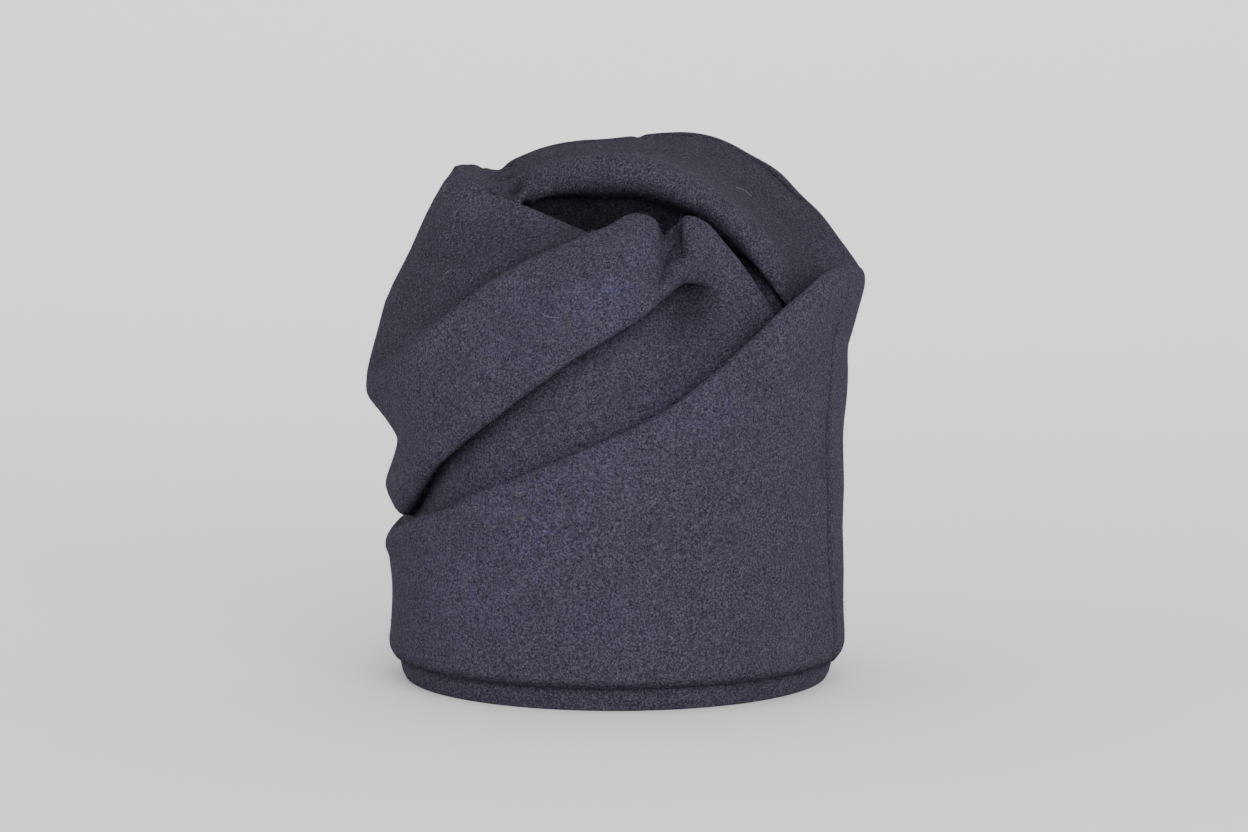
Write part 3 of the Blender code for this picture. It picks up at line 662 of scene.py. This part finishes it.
def soft_waves(points, seed, count, shortest, longest):
    """A smooth wandering value from -1 to 1 at each point, of waves between two lengths."""
    rng = np.random.default_rng(seed)
    total = np.zeros(points.shape[:-1])
    for _ in range(count):
        way = rng.normal(size=3)
        way /= np.linalg.norm(way)
        length = shortest * (longest / shortest) ** rng.random()
        total += np.sin(points @ way * (2 * math.pi / length) + rng.random() * 2 * math.pi)
    return total / math.sqrt(count)


def seam_lines(grid, bearings, crest_row, seam_row):
    """Points along each sewn seam, with how strongly the seam shows there."""
    upright = (RIGHT_SEAM, BACK_SEAM, LEFT_SEAM)
    at = {seam: int(np.argmin(abs(bearings - seam % 360))) for seam in upright}
    lines = []
    for k in range(crest_row + 1):
        fade = np.clip((crest_row - k) / EDGE_SEAM_FADE, 0, 1)
        lines.append((grid[at[RIGHT_SEAM], k], fade))
    for seam in (BACK_SEAM, LEFT_SEAM):
        for k in range(seam_row + 1):
            lines.append((grid[at[seam], k], 1.0))
    for i in range(at[RIGHT_SEAM], at[LEFT_SEAM] + 1):
        fade = np.clip((bearings[i] - CROWN_SEAM_START) / CROWN_SEAM_RISE, 0, 1)
        if fade > 0:
            lines.append((grid[i, seam_row], fade))
    return lines


def seam_pull(shape, grid, lines):
    """How far the nearest seam pulls each point in, less the swell beside it, and its painted shade."""
    dense = []
    for (one, fade), (two, other) in zip(lines, lines[1:]):
        if np.linalg.norm(np.subtract(one, two)) < SEAM_LINK:
            for t in (0, 0.25, 0.5, 0.75):
                place = np.asarray(one) * (1 - t) + np.asarray(two) * t
                dense.append((place, fade * (1 - t) + other * t))
    tree = KDTree(len(dense))
    for number, (place, _) in enumerate(dense):
        tree.insert(Vector(place), number)
    tree.balance()
    pull = np.zeros(grid.shape[:2])
    shade = np.zeros(grid.shape[:2])
    for i in range(grid.shape[0]):
        for k in range(grid.shape[1]):
            _, number, distance = tree.find(Vector(grid[i, k]))
            if distance < SEAM_FAR:
                groove = math.exp(-((distance / SEAM_GROOVE) ** 2))
                swell = SEAM_SWELL * math.exp(-(((distance - SEAM_PUFF) / SEAM_PUFF * 2) ** 2))
                pull[i, k] = shape.seam_depth * (groove - swell) * dense[number][1]
                shade[i, k] = SEAM_SHADE * groove * dense[number][1]
    return pull, shade


def nap_strength(shape, points):
    """How strong the bluish bloom is at each point, from 0 to 1."""
    shares = points / (shape.half_width, shape.half_depth, shape.crown_height)
    strength = np.zeros(points.shape[:-1])
    for *place, across, along, up, most in NAP_PATCHES:
        off = (shares - place) / (across, along, up)
        strength = np.maximum(strength, most * np.exp(-(off**2).sum(-1)))
    return strength


def seam_shift(grid, mine, i, k, gap):
    """How far a point on the middle of the cloth moves into its piece, for half of a seam's gap."""
    columns, rows = grid.shape[:2]
    side, up = 0, 0
    for a in (-1, 0):
        for b in (-1, 0):
            row = k + b if 0 <= k + b < rows - 1 else k - 1 - b
            if mine[(i + a) % columns, row]:
                side += 2 * a + 1
                up += 2 * b + 1
    shift = np.zeros(3)
    neighbours = []
    if side:
        neighbours.append(grid[(i + np.sign(side)) % columns, k])
    if up:
        neighbours.append(grid[i, k + np.sign(up)])
    for there in neighbours:
        way = there - grid[i, k]
        shift += way / max(np.linalg.norm(way), 1e-9) * gap / 2
    return shift


def cloth_piece(shape, grid, normals, mine):
    """Points, faces, outward vectors and grid places of one piece: both sides and the edges."""
    columns, rows = grid.shape[:2]
    cells = [(i, k) for i in range(columns) for k in range(rows - 1) if mine[i, k]]
    corners = {cell: face_corners(*cell, columns) for cell in cells}
    used = sorted({point for cell in cells for point in corners[cell]})
    number = {point: at for at, point in enumerate(used)}
    border = {
        (i, k) for i, k in used
        if 0 < k < rows - 1
        and len({mine[(i + a) % columns, k + b] for a in (-1, 0) for b in (-1, 0)}) > 1
    }
    middle = np.array([
        grid[point] + (seam_shift(grid, mine, *point, shape.seam_gap) if point in border else 0)
        for point in used
    ])
    way = np.array([normals[point] for point in used])
    out = way * shape.cloth / 2
    points = np.concatenate([middle + out, middle - out]).tolist()
    vectors = np.concatenate([way, -way]).tolist()
    count = len(used)

    faces = []
    sides = {}
    for cell in cells:
        loop = [number[point] for point in corners[cell]]
        faces.append(loop)
        faces.append([count + n for n in reversed(loop)])
        for one, two in zip(corners[cell], corners[cell][1:] + corners[cell][:1]):
            sides[one, two] = True
    if mine[:, -1].all():
        floor = [number[i, rows - 1] for i in range(columns)]
        faces.append(floor)
        faces.append([count + n for n in reversed(floor)])
    lowest = {number[point]: len(points) + at for at, point in enumerate(p for p in used if p[1] == 0)}
    points += [(middle[n] - (0, 0, HEM_EDGE)).tolist() for n in lowest]
    vectors += [(0, 0, -1)] * len(lowest)
    places = used * 2 + [point for point in used if point[1] == 0]
    for one, two in sides:
        if (two, one) in sides or one[1] == two[1] == rows - 1:
            continue
        a, b = number[one], number[two]
        if one[1] == two[1] == 0:
            faces.append([b, a, lowest[a], lowest[b]])
            faces.append([lowest[b], lowest[a], count + a, count + b])
        else:
            loop = [b, a, lowest.get(a), count + a, count + b, lowest.get(b)]
            faces.append([n for n in loop if n is not None])
    return points, faces, vectors, tuple(np.array(places).T)


def control_rows():
    """Where each row of the surface lies among the control points of its section."""
    wanted = [first + i / count for first, count in enumerate(ROWS) for i in range(count)]
    return np.array(wanted + [len(ROWS)])


def slope(value, low, high):
    """A smooth rise from 0 at the low value to 1 at the high one, or a fall where low is greater."""
    share = np.clip((value - low) / (high - low), 0, 1)
    return share**2 * (3 - 2 * share)


def dent_weights(shape, grid):
    """Each dent's weight at each point of the folds, from 0 to 1, with its depth and its shade."""
    folds = (control_rows() > VALLEY_POINT) & (control_rows() < RIDGE_POINT + 0.8)
    for *place, reach, push, shade in DENTS:
        centre = np.multiply(place, (shape.half_width, shape.half_depth, shape.crown_height))
        off = np.linalg.norm(grid - centre, axis=2) / reach
        yield np.exp(-(off**2)) * folds, push, shade


def fold_shade(shape, bearings, grid):
    """The shade painted at each point: up to 1 in folds, dents and the well, below 0 on two ridges.

    The numbers beside the control points say how far past one a shade begins or ends."""
    at = control_rows()
    strengths = np.clip(ring(FOLD_STRENGTHS, bearings), 0, 1)
    pocket, lap = strengths[:, 1], strengths[:, 2]
    well = slope(at, RIDGE_POINT + 1, RIDGE_POINT + 3)
    shade = well * (1 - WELL_END_FADE * slope(grid[:, :, 0], WELL_END_START, WELL_END_FULL))
    pocket_mouth = slope(at, CREST_POINT + 1.5, CREST_POINT + 2) * slope(at, VALLEY_POINT + 0.4, VALLEY_POINT)
    under_pleat = slope(at, LIP_POINT - 0.3, LIP_POINT) * slope(at, LIP_POINT + 2.6, LIP_POINT + 1.8)
    for strength, mouth in ((pocket, pocket_mouth), (lap, under_pleat)):
        shade = np.maximum(shade, np.outer(slope(strength, 0, 0.5), mouth))
    for weight, _, dark in dent_weights(shape, grid):
        shade = np.maximum(shade, weight * dark)
    shade = np.maximum(shade, HEM_SHADE * slope(at, 1.6, 0.2))
    crown = slope(at, RIM_POINT, RIM_POINT + 1) * slope(at, RIDGE_POINT, RIDGE_POINT - 0.4)
    shade = np.maximum(shade, CROWN_SHADE * np.outer(strengths[:, 7], crown))
    off = (bearings - LEFT_RIDGE_MIDDLE + 180) % 360 - 180
    along_left = slope(abs(off), LEFT_RIDGE_REACH, LEFT_RIDGE_REACH * 0.6)
    behind = slope(at, PLEAT_POINT + 0.2, PLEAT_POINT + 1)
    tucked = behind * slope(at, PLEAT_POINT + 2.4, PLEAT_POINT + 1.2)
    flap = behind * slope(at, RIM_POINT, RIM_POINT - 0.4)
    shade = np.maximum(shade, TUCK_SHADE * np.outer(strengths[:, 5], tucked))
    shade = np.maximum(shade, FLAP_SHADE * np.outer(along_left, flap))
    # Painted highlight along the roll's ridge and the left fold's rim.
    for strength, ridge in ((strengths[:, 7], RIDGE_POINT), (along_left, RIM_POINT)):
        shade -= RIDGE_HIGHLIGHT * np.outer(strength, np.exp(-(((at - ridge) / 0.3) ** 2)))
    return shade


def new_piece(name, points, faces, material, painted=(), vectors=None):
    """A finished mesh object at the origin, shaded smooth, with its painted values."""
    mesh = bpy.data.meshes.new(name)
    mesh.from_pydata(points, [], faces)
    mesh.shade_smooth()
    for label, values in dict(painted).items():
        layer = mesh.attributes.new(label, "FLOAT", "POINT")
        layer.data.foreach_set("value", np.asarray(values, np.float32))
    mesh.materials.append(material)
    mesh.update()
    if vectors is not None:
        mesh.normals_split_custom_set_from_vertices(vectors)
    piece = bpy.data.objects.new(name, mesh)
    bpy.context.scene.collection.objects.link(piece)
    return piece


# Materials


def felted_wool(felt):
    """Thick felted wool: pale flecks on a dark ground, mottling, a bluish bloom and painted shade."""
    material = bpy.data.materials.new("felted wool")
    material.use_nodes = True
    nodes, links = material.node_tree.nodes, material.node_tree.links
    shader = nodes["Principled BSDF"]
    shader.inputs["Roughness"].default_value = 1.0
    shader.inputs["Specular IOR Level"].default_value = 0.04
    shader.inputs["Sheen Weight"].default_value = 0.012
    shader.inputs["Sheen Roughness"].default_value = 0.5
    shader.inputs["Sheen Tint"].default_value = (0.62, 0.60, 0.78, 1)

    place = nodes.new("ShaderNodeTexCoord")
    place.location = (-1500, 0)
    nap = nodes.new("ShaderNodeAttribute")
    nap.attribute_name = "nap"
    nap.location = (-1500, -420)

    def noise(label, size, detail, rough, x, y):
        made = nodes.new("ShaderNodeTexNoise")
        made.label = label
        made.inputs["Scale"].default_value = 1 / size
        made.inputs["Detail"].default_value = detail
        made.inputs["Roughness"].default_value = rough
        made.location = (x, y)
        links.new(place.outputs["Object"], made.inputs["Vector"])
        return made.outputs["Fac"]

    def sharpened(value, low, high, x, y):
        made = nodes.new("ShaderNodeMapRange")
        made.inputs["From Min"].default_value = low
        made.inputs["From Max"].default_value = high
        made.location = (x, y)
        links.new(value, made.inputs["Value"])
        return made.outputs["Result"]

    def reckoned(way, one, two, x, y):
        made = nodes.new("ShaderNodeMath")
        made.operation = way
        made.location = (x, y)
        for socket, value in zip(made.inputs, (one, two)):
            if isinstance(value, (int, float)):
                socket.default_value = value
            else:
                links.new(value, socket)
        return made.outputs["Value"]

    def blended(share, one, two, x, y):
        made = nodes.new("ShaderNodeMix")
        made.data_type = "RGBA"
        made.location = (x, y)
        links.new(share, made.inputs["Factor"])
        for socket, value in ((made.inputs[6], one), (made.inputs[7], two)):
            if isinstance(value, bpy.types.NodeSocket):
                links.new(value, socket)
            else:
                socket.default_value = (*value, 1)
        return made.outputs[2]

    flecks = noise("flecks", felt.fleck_size, 2, 0.6, -1250, 200)
    flecks.node.inputs["Distortion"].default_value = 0.8
    curls = noise("curls", felt.fleck_size * 1.6, 2, 0.5, -1250, 0)
    curls.node.inputs["Distortion"].default_value = 0.8
    mottle = noise("mottle", MOTTLE_SIZE, 3, 0.55, -1250, -200)
    tufts = noise("tufts of the bloom", TUFT_SIZE, 4, 0.6, -1250, -420)
    pale = sharpened(flecks, 0.44, 0.70, -1020, 200)
    curl_light = sharpened(curls, 0.40, 0.75, -1020, 0)
    speckle = reckoned("MULTIPLY_ADD", curl_light, 0.35, -800, 0)
    speckle.node.inputs[2].default_value = 0.0
    fleck_share = reckoned("MULTIPLY_ADD", pale, 0.65, -800, 200)
    links.new(speckle, fleck_share.node.inputs[2])
    cloth = blended(fleck_share, felt.ground, felt.fleck, -560, 200)

    shade = sharpened(mottle, 0.25, 0.75, -1020, -200)
    # Painted shade: the attribute darkens the felt's colour in the folds, dents, seams, well and at the hem,
    # and makes it paler on two ridges.
    hollow = nodes.new("ShaderNodeAttribute")
    hollow.attribute_name = "hollow"
    hollow.location = (-1250, -620)
    dimmed = reckoned("MULTIPLY_ADD", hollow.outputs["Fac"], felt.well_shade - 1, -1020, -620)
    dimmed.node.inputs[2].default_value = 1.0
    mottled = reckoned("MULTIPLY_ADD", shade, 0.14, -800, -200)
    mottled.node.inputs[2].default_value = 0.93
    tone = reckoned("MULTIPLY", mottled, dimmed, -560, -300)
    toned = nodes.new("ShaderNodeVectorMath")
    toned.operation = "SCALE"
    toned.location = (-360, 160)
    links.new(cloth, toned.inputs[0])
    links.new(tone, toned.inputs["Scale"])

    tuft_share = sharpened(tufts, 0.40, 0.66, -1020, -420)
    bloom_share = reckoned("MULTIPLY", tuft_share, nap.outputs["Fac"], -560, -420)
    bloom_flecks = reckoned("MULTIPLY", bloom_share, fleck_share, -360, -420)
    bluish = blended(bloom_flecks, toned.outputs["Vector"], felt.bloom, -160, 60)
    grit = noise("olive spots", GRIT_SIZE, 4, 0.65, -1250, -800)
    rubbed = sharpened(grit, 0.52, 0.72, -1020, -800)
    rubbed_here = reckoned("MULTIPLY", rubbed, nap.outputs["Fac"], -800, -800)
    rubbed_flecks = reckoned("MULTIPLY", rubbed_here, pale, -560, -800)
    coloured = blended(rubbed_flecks, bluish, felt.rubbed, 60, 60)
    links.new(coloured, shader.inputs["Base Color"])

    relief = reckoned("MULTIPLY_ADD", curl_light, 0.6, -560, -160)
    links.new(pale, relief.node.inputs[2])
    lifted_nap = reckoned("MULTIPLY_ADD", bloom_share, 1.2, -360, -240)
    links.new(relief, lifted_nap.node.inputs[2])
    bump = nodes.new("ShaderNodeBump")
    bump.inputs["Strength"].default_value = 0.8
    bump.inputs["Distance"].default_value = felt.relief
    bump.location = (-160, -240)
    links.new(lifted_nap, bump.inputs["Height"])
    links.new(bump.outputs["Normal"], shader.inputs["Normal"])
    return material


def plain(name, colour, roughness):
    """A material of one plain colour."""
    material = bpy.data.materials.new(name)
    material.use_nodes = True
    shader = material.node_tree.nodes["Principled BSDF"]
    shader.inputs["Base Color"].default_value = (*colour, 1)
    shader.inputs["Roughness"].default_value = roughness
    return material


def studio_paper(stage):
    """The pale paper of the floor and backdrop."""
    material = plain("studio paper", stage.paper, 0.9)
    shader = material.node_tree.nodes["Principled BSDF"]
    shader.inputs["Specular IOR Level"].default_value = 0.1
    return material


# Operators


class TURBAN_OT_shell(bpy.types.Operator):
    """Makes the felt shell as its front drape and its two back panels"""

    bl_idname = "turban.shell"
    bl_label = "Felt shell"

    def execute(self, context):
        shape = context.scene.turban_shape
        bearings = section_bearings(shape)
        grid, crest_row, seam_row = shell_surface(shape, bearings)
        normals = grid_normals(grid)
        outside = (grid + normals * shape.cloth / 2).reshape(-1, 3)
        middle = (outside.min(axis=0) + outside.max(axis=0)) / 2 * (1, 1, 0)
        grid = grid - middle
        pull, seam_shade = seam_pull(shape, grid, seam_lines(grid, bearings, crest_row, seam_row))
        waves = soft_waves(grid, WAVE_SEED, WAVE_COUNT, WAVE_SHORTEST, WAVE_LONGEST) * shape.unevenness
        above_hem = np.clip((grid[:, :, 2] - shape.hem_height) / WAVE_START, 0, 1)
        for weight, push, _ in dent_weights(shape, grid + middle):
            pull = pull + weight * push
        shade = np.maximum(fold_shade(shape, bearings, grid + middle), seam_shade)
        nap = nap_strength(shape, grid + middle)
        grid = grid + normals * (waves * above_hem - pull)[:, :, None]
        normals = grid_normals(grid)

        owner = np.full((shape.sections, grid.shape[1] - 1), DRAPE)
        left = LEFT_SEAM % 360
        owner[(bearings >= RIGHT_SEAM) & (bearings < CROWN_SEAM), :crest_row] = RIGHT_PANEL
        owner[(bearings >= CROWN_SEAM) & (bearings < BACK_SEAM), :seam_row] = RIGHT_PANEL
        owner[(bearings >= BACK_SEAM) & (bearings < left), :seam_row] = LEFT_PANEL
        material = felted_wool(context.scene.turban_felt)
        for node, number in SHELL_PIECES:
            mine = owner == number
            points, faces, vectors, places = cloth_piece(shape, grid, normals, mine)
            # Each piece carries the painted shade and the bloom's strength at its points.
            painted = {"nap": nap[places], "hollow": shade[places]}
            piece = new_piece(node + "_felt", points, faces, material, painted, vectors)
            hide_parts(node)
            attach(piece, "root")
        return {"FINISHED"}


class TURBAN_OT_band(bpy.types.Operator):
    """Makes the plain head band that the hat stands on"""

    bl_idname = "turban.band"
    bl_label = "Head band"

    def execute(self, context):
        shape = context.scene.turban_shape
        low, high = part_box("head_band")
        outer_x = (high[0] - low[0]) / 2
        outer_y = (high[1] - low[1]) / 2
        centre = ((low[0] + high[0]) / 2, (low[1] + high[1]) / 2)
        lean = BAND_TURN * 0.35
        wall = BAND_WALL
        # The wall's outline as inset and height, from its lower edge up outside and down inside.
        profile = []
        for turn in range(0, 91, 15):
            angle = math.radians(turn)
            ease = BAND_EASE * 1.4
            profile.append((BAND_TURN + ease * (1 - math.sin(angle)), ease * (1 - math.cos(angle))))
        profile += [
            (lean * 1.6, BAND_TURN_HEIGHT * 0.35),
            (lean, BAND_TURN_HEIGHT * 0.55),
            (lean * 0.4, BAND_TURN_HEIGHT * 0.75),
            (0, BAND_TURN_HEIGHT),
            (0, BAND_HEIGHT * 0.5),
            (0, BAND_HEIGHT - BAND_EASE),
            (BAND_EASE, BAND_HEIGHT),
            (wall - BAND_EASE, BAND_HEIGHT),
            (wall, BAND_HEIGHT - BAND_EASE),
            (wall, BAND_HEIGHT * 0.5),
            (wall, BAND_TURN_HEIGHT),
            (wall + lean, BAND_TURN_HEIGHT / 2),
            (wall + BAND_TURN, BAND_EASE),
            (wall + BAND_TURN - BAND_EASE, 0),
        ]
        bearings = np.radians(np.linspace(0, 360, BAND_SECTIONS, endpoint=False))
        rings = []
        for inset, height in profile:
            across = centre[0] + (outer_x - inset) * np.sin(bearings)
            depth = centre[1] - (outer_y - inset) * np.cos(bearings)
            rings.append(np.stack([across, depth, np.full_like(across, height)], 1))
        grid = np.stack(rings, 1)
        rows = len(profile)
        faces = []
        for i in range(BAND_SECTIONS):
            j = (i + 1) % BAND_SECTIONS
            for k in range(rows):
                above = (k + 1) % rows
                faces.append([i * rows + k, j * rows + k, j * rows + above, i * rows + above])
        material = bpy.data.materials["felted wool"]
        points = grid.reshape(-1, 3)
        # Painted shade on the band, rising to full where the shell's lower edge hangs over it.
        band_shade = HEM_SHADE * slope(points[:, 2], shape.hem_height * 0.55, shape.hem_height * 1.05)
        piece = new_piece("head_band_felt", points.tolist(), faces, material, {"hollow": band_shade})
        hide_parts("head_band")
        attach(piece, "root")
        return {"FINISHED"}


def fibre_tree():
    """Geometry nodes that scatter short bent fibres over a cloth and turn them into one mesh."""
    tree = bpy.data.node_groups.new("scattered fibres", "GeometryNodeTree")
    face = tree.interface
    face.new_socket("Geometry", in_out="INPUT", socket_type="NodeSocketGeometry")
    for label in ("Density", "Length", "Radius", "Middle height", "End height"):
        face.new_socket(label, in_out="INPUT", socket_type="NodeSocketFloat")
    face.new_socket("Seed", in_out="INPUT", socket_type="NodeSocketInt")
    face.new_socket("Material", in_out="INPUT", socket_type="NodeSocketMaterial")
    face.new_socket("Geometry", in_out="OUTPUT", socket_type="NodeSocketGeometry")
    nodes, links = tree.nodes, tree.links

    def add(kind, x, y, **values):
        node = nodes.new(kind)
        node.location = (x, y)
        for key, value in values.items():
            setattr(node, key, value)
        return node

    into = add("NodeGroupInput", -1400, 0)
    out = add("NodeGroupOutput", 900, 0)
    points = add("GeometryNodeDistributePointsOnFaces", -1000, 200)
    links.new(into.outputs["Geometry"], points.inputs["Mesh"])
    links.new(into.outputs["Density"], points.inputs["Density"])
    links.new(into.outputs["Seed"], points.inputs["Seed"])

    scaled = []
    for y, share in ((-200, 0.5), (-360, -0.5), (-520, FIBRE_BEND)):
        node = add("ShaderNodeMath", -1200, y, operation="MULTIPLY")
        node.inputs[1].default_value = share
        links.new(into.outputs["Length"], node.inputs[0])
        scaled.append(node)
    half, back, bend = scaled
    corners = []
    for y, across, side, up in (
        (-200, back, None, None),
        (-360, None, bend, "Middle height"),
        (-520, half, None, "End height"),
    ):
        corner = add("ShaderNodeCombineXYZ", -1000, y)
        if across:
            links.new(across.outputs[0], corner.inputs["X"])
        if side:
            links.new(side.outputs[0], corner.inputs["Y"])
        if up:
            links.new(into.outputs[up], corner.inputs["Z"])
        corners.append(corner)
    curve = add("GeometryNodeCurveQuadraticBezier", -760, -300)
    curve.inputs["Resolution"].default_value = 5
    for corner, socket in zip(corners, ("Start", "Middle", "End")):
        links.new(corner.outputs[0], curve.inputs[socket])
    round_ = add("GeometryNodeCurvePrimitiveCircle", -760, -560)
    round_.inputs["Resolution"].default_value = 3
    links.new(into.outputs["Radius"], round_.inputs["Radius"])
    fibre = add("GeometryNodeCurveToMesh", -520, -360)
    fibre.inputs["Fill Caps"].default_value = True
    links.new(curve.outputs["Curve"], fibre.inputs["Curve"])
    links.new(round_.outputs["Curve"], fibre.inputs["Profile Curve"])

    turn = add("FunctionNodeRandomValue", -760, 0, data_type="FLOAT_VECTOR")
    turn.inputs["Min"].default_value = (0, 0, 0)
    turn.inputs["Max"].default_value = (0, 0, 2 * math.pi)
    links.new(into.outputs["Seed"], turn.inputs["Seed"])
    turned = add("FunctionNodeRotateRotation", -520, 40, rotation_space="LOCAL")
    links.new(points.outputs["Rotation"], turned.inputs["Rotation"])
    links.new(turn.outputs["Value"], turned.inputs["Rotate By"])
    size = add("FunctionNodeRandomValue", -520, -120, data_type="FLOAT")
    size.inputs[2].default_value = FIBRE_LEAST
    size.inputs[3].default_value = FIBRE_MOST
    links.new(into.outputs["Seed"], size.inputs["Seed"])

    placed = add("GeometryNodeInstanceOnPoints", 0, 100)
    links.new(points.outputs["Points"], placed.inputs["Points"])
    links.new(fibre.outputs["Mesh"], placed.inputs["Instance"])
    links.new(turned.outputs["Rotation"], placed.inputs["Rotation"])
    links.new(size.outputs[1], placed.inputs["Scale"])
    real = add("GeometryNodeRealizeInstances", 240, 100)
    links.new(placed.outputs["Instances"], real.inputs["Geometry"])
    painted = add("GeometryNodeSetMaterial", 480, 100)
    links.new(real.outputs["Geometry"], painted.inputs["Geometry"])
    links.new(into.outputs["Material"], painted.inputs["Material"])
    links.new(painted.outputs["Geometry"], out.inputs["Geometry"])
    return tree


def scattered(name, cloth, tree, inputs):
    """A plain mesh of the fibres that the tree scatters over a finished piece of cloth."""
    ground = bpy.data.objects.new(name + "_ground", cloth.data.copy())
    bpy.context.scene.collection.objects.link(ground)
    modifier = ground.modifiers.new("fibres", "NODES")
    modifier.node_group = tree
    for item in tree.interface.items_tree:
        if item.in_out == "INPUT" and item.name in inputs:
            modifier[item.identifier] = inputs[item.name]
    bpy.context.view_layer.update()
    seen = ground.evaluated_get(bpy.context.evaluated_depsgraph_get())
    mesh = bpy.data.meshes.new_from_object(seen)
    mesh.name = name
    bpy.data.objects.remove(ground)
    piece = bpy.data.objects.new(name, mesh)
    bpy.context.scene.collection.objects.link(piece)
    return piece


class TURBAN_OT_fibres(bpy.types.Operator):
    """Scatters the short fuzz and the loose pale fibres over the felt"""

    bl_idname = "turban.fibres"
    bl_label = "Loose fibres"

    def execute(self, context):
        felt = context.scene.turban_felt
        tree = fibre_tree()
        pale = plain("loose fibre", felt.stray, 0.9)
        wool = plain("fuzz fibre", felt.fleck, 1.0)
        kinds = {"fuzz": (wool, felt.fuzz_density), "stray": (pale, felt.stray_density)}
        for number, (node, _) in enumerate(SHELL_PIECES):
            cloth = bpy.data.objects[node + "_felt"]
            for label, length, radius, middle, end, seed in FIBRES:
                material, density = kinds[label]
                inputs = {
                    "Density": density, "Length": length, "Radius": radius, "Middle height": middle,
                    "End height": end, "Seed": seed + number, "Material": material,
                }
                piece = scattered(f"{node}_{label}", cloth, tree, inputs)
                if not piece.data.polygons:
                    raise RuntimeError("no fibres were made on " + node)
                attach(piece, "root")
        return {"FINISHED"}


class TURBAN_OT_stage(bpy.types.Operator):
    """Makes the studio paper, the soft lights and the camera"""

    bl_idname = "turban.stage"
    bl_label = "Studio"

    def execute(self, context):
        stage = context.scene.turban_stage
        self.paper(stage)
        for name, place, target, size, setting in LIGHTS:
            self.light(name, place, target, size, getattr(stage, setting))
        context.scene.world = self.surroundings(stage)
        self.camera(context)
        return {"FINISHED"}

    def paper(self, stage):
        """A floor that curves up behind the hat."""
        profile = [(PAPER_FRONT, 0.0), (PAPER_BEND, 0.0)]
        for turn in range(0, 91, 6):
            angle = math.radians(turn)
            back = PAPER_BEND + PAPER_BEND * math.sin(angle)
            profile.append((back, PAPER_BEND - PAPER_BEND * math.cos(angle)))
        profile.append((2 * PAPER_BEND, PAPER_TOP))
        points = [(x, y, z) for y, z in profile for x in (-PAPER_HALF, PAPER_HALF)]
        faces = [(2 * k, 2 * k + 1, 2 * k + 3, 2 * k + 2) for k in range(len(profile) - 1)]
        mesh = bpy.data.meshes.new("studio_paper")
        mesh.from_pydata(points, [], faces)
        mesh.shade_smooth()
        mesh.materials.append(studio_paper(stage))
        sweep = bpy.data.objects.new("studio_paper", mesh)
        bpy.context.scene.collection.objects.link(sweep)

    def surroundings(self, stage):
        """White light from all round, weaker from above than from the sides."""
        world = bpy.data.worlds.new("studio")
        world.use_nodes = True
        nodes, links = world.node_tree.nodes, world.node_tree.links
        place = nodes.new("ShaderNodeTexCoord")
        parts = nodes.new("ShaderNodeSeparateXYZ")
        share = nodes.new("ShaderNodeMapRange")
        share.inputs["To Min"].default_value = stage.fill
        share.inputs["To Max"].default_value = stage.fill * stage.overhead_share
        for node, x in ((place, -700), (parts, -480), (share, -260)):
            node.location = (x, 0)
        links.new(place.outputs["Generated"], parts.inputs[0])
        links.new(parts.outputs["Z"], share.inputs["Value"])
        background = nodes["Background"]
        background.inputs["Color"].default_value = (1, 1, 1, 1)
        links.new(share.outputs["Result"], background.inputs["Strength"])
        return world

    def light(self, name, place, target, size, power):
        """A soft rectangular light that faces the target."""
        lamp = bpy.data.lights.new(name, "AREA")
        lamp.shape = "RECTANGLE"
        lamp.size, lamp.size_y = size
        lamp.energy = power
        lit = bpy.data.objects.new(name, lamp)
        lit.location = place
        lit.rotation_euler = (Vector(place) - Vector(target)).to_track_quat("Z", "Y").to_euler()
        lit.visible_camera = False
        bpy.context.scene.collection.objects.link(lit)

    def camera(self, context):
        """The camera, placed to match the photograph, without depth of field."""
        lens = bpy.data.cameras.new("camera")
        lens.lens = CAMERA_LENS
        lens.sensor_width = CAMERA_SENSOR
        lens.dof.use_dof = False
        eye = bpy.data.objects.new("camera", lens)
        eye.location = CAMERA_PLACE
        eye.rotation_euler = (math.radians(90) - math.atan2(CAMERA_FALL, CAMERA_RUN), 0, 0)
        context.scene.collection.objects.link(eye)
        context.scene.camera = eye


class TURBAN_PT_panel(bpy.types.Panel):
    """Lists the hat's sizes, colours and pieces"""

    bl_idname = "TURBAN_PT_panel"
    bl_label = "Turban hat"
    bl_space_type = "VIEW_3D"
    bl_region_type = "UI"
    bl_category = "Turban hat"

    def draw(self, context):
        for group in (context.scene.turban_shape, context.scene.turban_felt, context.scene.turban_stage):
            box = self.layout.box()
            for name in group.__annotations__:
                box.prop(group, name)
        for operator in OPERATORS:
            self.layout.operator(operator.bl_idname)


OPERATORS = (TURBAN_OT_shell, TURBAN_OT_band, TURBAN_OT_fibres, TURBAN_OT_stage)
CLASSES = (TurbanShape, TurbanFelt, TurbanStage, *OPERATORS, TURBAN_PT_panel)


def register():
    """Registers the classes and hangs the settings on the scene."""
    for cls in CLASSES:
        bpy.utils.register_class(cls)
    bpy.types.Scene.turban_shape = bpy.props.PointerProperty(type=TurbanShape)
    bpy.types.Scene.turban_felt = bpy.props.PointerProperty(type=TurbanFelt)
    bpy.types.Scene.turban_stage = bpy.props.PointerProperty(type=TurbanStage)


def unregister():
    """Takes the settings and the classes away again."""
    del bpy.types.Scene.turban_stage
    del bpy.types.Scene.turban_felt
    del bpy.types.Scene.turban_shape
    for cls in reversed(CLASSES):
        bpy.utils.unregister_class(cls)


def main():
    """Makes every piece and the stage."""
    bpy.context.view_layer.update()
    register()
    bpy.ops.turban.shell()
    bpy.ops.turban.band()
    bpy.ops.turban.fibres()
    bpy.ops.turban.stage()
    bpy.context.view_layer.update()


if __name__ == "__main__":
    main()
